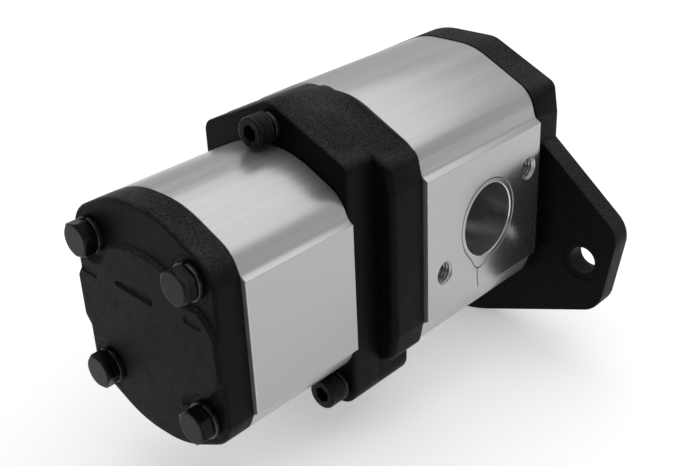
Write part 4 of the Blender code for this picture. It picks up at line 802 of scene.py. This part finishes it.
def arched_wall():
    """Prism inside the arches whose wall leans: its inset grows evenly while the depth eases in and out."""
    share = np.linspace(0, 1, 9)
    eased = share ** 2 * (3 - 2 * share)
    inset = np.concatenate([[-WALL_LEAN], 2 * WALL_LEAN * share - WALL_LEAN])
    depth = np.concatenate([[TAIL_END + 4.0], TAIL_END + 0.05 + (MIDDLE_FACE - 0.1 - TAIL_END) * eased])
    return loft("arched_wall", [at_depth(arches(i), d) for i, d in zip(inset, depth)])


def dent(corners, steps):
    """Cutter for a hollow in the raised middle: its outline drawn in by an inset at each depth."""
    return loft("dent", [at_depth(rounded(corners, inset, 8), MIDDLE_FACE + depth) for inset, depth in steps])


rear_cover = slab("rear_cover_casting", lambda inset: rounded(small_outline, inset),
                  TAIL_FACE + 0.15, TAIL_END, front_edge=0.05, rear_edge=1.8)
middle = slab("middle", lambda inset: rounded(small_outline, inset + 0.02), TAIL_END + 3.0, MIDDLE_FACE,
              front_edge=0.3, rear_edge=1.8)
shape(middle, [arched_wall()], "INTERSECT")
shape(rear_cover, [middle], "UNION")
spot_profile = rounded([(0.0, BOLT_SPOT, 0), (9.2, BOLT_SPOT, 0.8), (11.6, MIDDLE_FACE, 1.2),
                        (14.0, MIDDLE_FACE - 0.4, 0.02), (0.0, MIDDLE_FACE - 0.4, 0)], closed=False, steps=8)
cuts = []
for bolt_place in COVER_BOLT_PLACES:
    cuts.append(turned("spot", spot_profile[1:-1], bolt_place))
    cuts.append(hole(CLEAR_M8, TAIL_FACE, TAIL_END - OVERRUN, bolt_place))
gouge_corners = [(-15.0, 28.2, 1.0), (7.0, 26.6, 2.2), (7.0, 32.0, 2.2), (-15.0, 30.6, 1.0)]
gouge_steps = ((-0.3, -1.0), (0.0, -0.05), (0.3, 0.45), (0.7, 0.9), (1.05, 1.1))
cuts.append(dent(gouge_corners, gouge_steps))
dent_corners = np.array([(-5.0, 27.2, 1.4), (5.0, 26.6, 1.4), (5.0, 30.2, 1.4), (-5.0, 30.8, 1.4)])
dent_steps = ((-0.5, -1.0), (0.0, -0.02), (0.5, 0.3), (1.0, 0.55), (1.3, 0.6))
for dent_x in (-31.0, 28.5):
    cuts.append(dent(dent_corners + (dent_x, 0, 0), dent_steps))
shape(rear_cover, cuts)
fit(rear_cover, CAST_IRON, "cast_black", "housing", "rear_cover", crease=14)

# Cover bolts and lock washers
# Four hexagon bolts with split spring washers hold the rear cover and the small body on their flange.
# Cold headed, quenched and black oxidised; the heads are bare.

BLACK_OXIDE = finish_of("black_oxide", stretch=(220, 2200, 220),
                        colours=((0.004, 0.0037, 0.0035), (0.024, 0.0217, 0.0206)),
                        roughness=(0.26, 0.46), metallic=0.6, relief=0.05, specular=0.12)
SPRING_STEEL = finish_of("spring_steel", stretch=(500, 500, 500),
                         colours=((0.035, 0.032, 0.03), (0.09, 0.083, 0.08)),
                         roughness=(0.28, 0.42), metallic=0.8, relief=0.02, specular=0.4)
BOLT_TIP, BOLT_SEAT, BOLT_TOP = -116.3, -197.9, -203.2
BOLT_RADIUS = 4.0
BOLT_TURNS = np.radians([-16, 0, 28, 12])
HEX_FLAT = 6.5
HEX_SHARPNESS = 70
WASHER_BORE, WASHER_EDGE = 4.3, 0.3
WASHER_SPLIT = np.radians(11)


def hexagon(angle, flat):
    """Reach of a hexagon with slightly rounded corners: flat / (sum of |cos|^p over its three axes)^(1/p)."""
    thirds = np.abs(np.cos(angle[None, :] - np.radians([[0.0], [60.0], [120.0]])))
    return flat / (thirds ** HEX_SHARPNESS).sum(axis=0) ** (1 / HEX_SHARPNESS)


def ringed(name, rows, angle, place):
    """Skin over rings about a line along Y; each ring's reach and depth may change round the line."""
    reach, depth = (np.array([side + 0 * angle for side in column]) for column in zip(*rows))
    across = place[0] + reach * np.cos(angle)
    upward = place[1] + reach * np.sin(angle)
    return loft(name, np.stack([across, depth, upward], axis=-1))


def hex_bolt(name, place, turn):
    """Shank and head as rings over one turn; the head's chamfer is a 30 degree cone."""
    angle = np.linspace(0, 2 * np.pi, 144, endpoint=False)
    hexed = hexagon(angle, HEX_FLAT)
    end = 0.95 * HEX_FLAT
    cone = BOLT_TOP + (hexed - end) * np.tan(np.radians(30))
    rows = [(BOLT_RADIUS - 1.0, BOLT_TIP), (BOLT_RADIUS, BOLT_TIP - 1.0), (BOLT_RADIUS, BOLT_SEAT),
            (6.0, BOLT_SEAT), (hexed - 0.25, BOLT_SEAT - 0.02), (hexed, BOLT_SEAT - 0.3),
            (hexed, cone + 0.12), (hexed - 0.12, cone), (end + 0.1, BOLT_TOP + 0.05),
            (end - 0.2, BOLT_TOP), (end - 0.8, BOLT_TOP)]
    return ringed(name, rows, angle + turn, place)


def washer_section(outer, front, rear):
    """Square section of a spring washer on an M8 screw, its edges broken."""
    corners = ((outer, front), (WASHER_BORE, front), (WASHER_BORE, rear), (outer, rear))
    return rounded([(*corner, WASHER_EDGE) for corner in corners], steps=5)


cover_section = washer_section(outer=7.4, front=-195.6, rear=-197.6)
for number, (bolt_place, turn) in enumerate(zip(COVER_BOLT_PLACES, BOLT_TURNS), start=1):
    bolt = hex_bolt(f"hex_bolt_{number}", bolt_place, turn)
    fit(bolt, BLACK_OXIDE, "black_oxide", "housing", f"cover_bolt_{number}")
    washer = split_hoop(f"spring_washer_{number}", cover_section, WASHER_SPLIT, bolt_place)
    fit(washer, SPRING_STEEL, "black_oxide", "housing", f"cover_lock_washer_{number}")

# Plate screws and lock washers
# Three socket-head screws with spring washers clamp the small section's flange to the end cover.
# Black oxidised; the heads are knurled all round.

PLATE_SCREW_RADIUS, PLATE_SCREW_SEAT, PLATE_SCREW_TIP = 4.0, -130.7, -101.0
HEAD_FACTOR, KEY_FACTOR = 1.6, 0.75
KNURLS, KNURL_DEPTH = 20, 0.044


def socket_screw(name, place, radius, seat, tip):
    """Shank, knurled head and hexagon socket as rings over one turn, from the tip to the socket's floor."""
    angle = np.linspace(0, 2 * np.pi, 240, endpoint=False)
    head, hexed = HEAD_FACTOR * radius, hexagon(angle, KEY_FACTOR * radius)
    knurled = head - KNURL_DEPTH * head * (1 - np.abs(np.cos(KNURLS * angle)))
    rise = np.sign(seat - tip) * radius
    top = seat + 2 * rise
    floor = top - rise
    rows = [(0.85 * radius, tip), (radius, tip + 0.15 * rise), (radius, seat),
            (0.97 * head, seat), (head, seat + 0.03 * rise), (head, seat + 0.28 * rise),
            (knurled, seat + 0.34 * rise), (knurled, top - 0.30 * rise), (head, top - 0.26 * rise),
            (0.995 * head, top - 0.16 * rise), (0.96 * head, top - 0.05 * rise), (0.90 * head, top),
            (0.84 * head, top), (1.06 * hexed, top), (hexed, top - 0.06 * rise), (hexed, floor),
            (0.3 * hexed, floor - 0.2 * rise)]
    return ringed(name, rows, angle, place)


plate_section = washer_section(outer=6.4, front=-128.6, rear=-130.4)
for side, screw_place in (("top", TOP_LUG), ("left", LOW_LUGS[0]), ("right", LOW_LUGS[1])):
    screw = socket_screw(f"socket_screw_{side}", screw_place, PLATE_SCREW_RADIUS, PLATE_SCREW_SEAT,
                         PLATE_SCREW_TIP)
    fit(screw, BLACK_OXIDE, "black_oxide", "housing", f"plate_screw_{side}")
    washer = split_hoop(f"small_washer_{side}", plate_section, WASHER_SPLIT, screw_place)
    fit(washer, SPRING_STEEL, "black_oxide", "housing", f"plate_lock_washer_{side}")

# Body screws and dowels
# Four longer socket-head screws go from the mounting face through the large body into its end cover.
# Hardened pins locate each body on the piece in front of it.

BODY_SCREW_RADIUS, BODY_SCREW_TIP, HEAD_GAP = 5.0, -107.0, 0.3
for number, screw_place in enumerate(BODY_SCREW_PLACES, start=1):
    screw = socket_screw(f"long_screw_{number}", screw_place, BODY_SCREW_RADIUS, BODY_SCREW_SEAT + HEAD_GAP,
                         BODY_SCREW_TIP)
    fit(screw, BLACK_OXIDE, "black_oxide", "housing", f"body_screw_{number}")
repaint(GROUND_STEEL, *(f"{section}_dowel_{number}" for section in SECTIONS for number in (1, 2)))

# Studio
# A white floor that runs far out, one wide soft lamp overhead and a soft glow from all round.
# The camera stands where the photo was taken.

FLOOR_REACH, FLOOR_THICKNESS = 20000.0, 10.0
FLOOR_LIFT = 0.38
LAMP_PLACE = (-25.0, 275.0, 1100.0)
LAMP_WIDTH, LAMP_DEPTH = 1950.0, 1550.0
LAMP_POWER = 8.6
CAMERA_PLACE = (284.02, -387.57, 223.77)
CAMERA_TURN = np.radians([62.593, 2.184, 42.118])
CAMERA_LENS, CAMERA_SENSOR = 54.99, 36.0

floor_top = cad_bounds[0][2] / MM
floor_outline = FLOOR_REACH * np.array([(-1, -1), (1, -1), (1, 1), (-1, 1)])
studio_floor = loft("studio_floor", [np.insert(floor_outline, 2, height, axis=1)
                                     for height in (floor_top, floor_top - FLOOR_THICKNESS)])
floor_paint = bpy.data.materials.new("white_floor")
floor_paint.use_nodes = True
floor_tree = floor_paint.node_tree
floor_shader = floor_tree.nodes["Principled BSDF"]
floor_shader.inputs["Base Color"].default_value = (0.95, 0.95, 0.95, 1)
floor_shader.inputs["Roughness"].default_value = 0.9
floor_shader.inputs["Specular IOR Level"].default_value = 0.0
floor_shader.inputs["Emission Color"].default_value = (1, 1, 1, 1)
ray = shader_node(floor_tree, "LightPath").outputs
seen = reckoned(floor_tree, "MAXIMUM", ray["Is Camera Ray"], ray["Is Glossy Ray"])
seen = reckoned(floor_tree, "MAXIMUM", seen, ray["Is Transmission Ray"])
floor_glow = reckoned(floor_tree, "MULTIPLY", seen, FLOOR_LIFT)
floor_tree.links.new(floor_glow, floor_shader.inputs["Emission Strength"])
studio_floor.data.materials.append(floor_paint)

lamp = bpy.data.lights.new("overhead_lamp", "AREA")
lamp.shape = "RECTANGLE"
lamp.size, lamp.size_y = LAMP_WIDTH * MM, LAMP_DEPTH * MM
lamp.energy = LAMP_POWER
lamp.color = (1.0, 0.97, 0.94)
lamp_holder = bpy.data.objects.new("overhead_lamp", lamp)
lamp_holder.location = np.array(LAMP_PLACE) * MM
bpy.context.scene.collection.objects.link(lamp_holder)

world = bpy.data.worlds.new("studio_air")
world.use_nodes = True
air = world.node_tree.nodes["Background"]
air.inputs["Color"].default_value = (0.97, 0.985, 1, 1)
towards = shader_node(world.node_tree, "TexCoord").outputs["Generated"]
forward = shader_node(world.node_tree, "SeparateXYZ", {"Vector": towards}).outputs["Y"]
glow = ramp(world.node_tree, forward, start=-0.8, end=0.4, low=0.27, high=0.52)
world.node_tree.links.new(glow, air.inputs["Strength"])
bpy.context.scene.world = world

camera = bpy.data.cameras.new("photo_camera")
camera.sensor_fit = "HORIZONTAL"
camera.sensor_width = CAMERA_SENSOR
camera.lens = CAMERA_LENS
camera.clip_start = 0.01
camera_holder = bpy.data.objects.new("photo_camera", camera)
camera_holder.location = np.array(CAMERA_PLACE) * MM
camera_holder.rotation_euler = CAMERA_TURN
bpy.context.scene.collection.objects.link(camera_holder)
bpy.context.scene.camera = camera_holder
bpy.context.scene.view_settings.view_transform = "Standard"
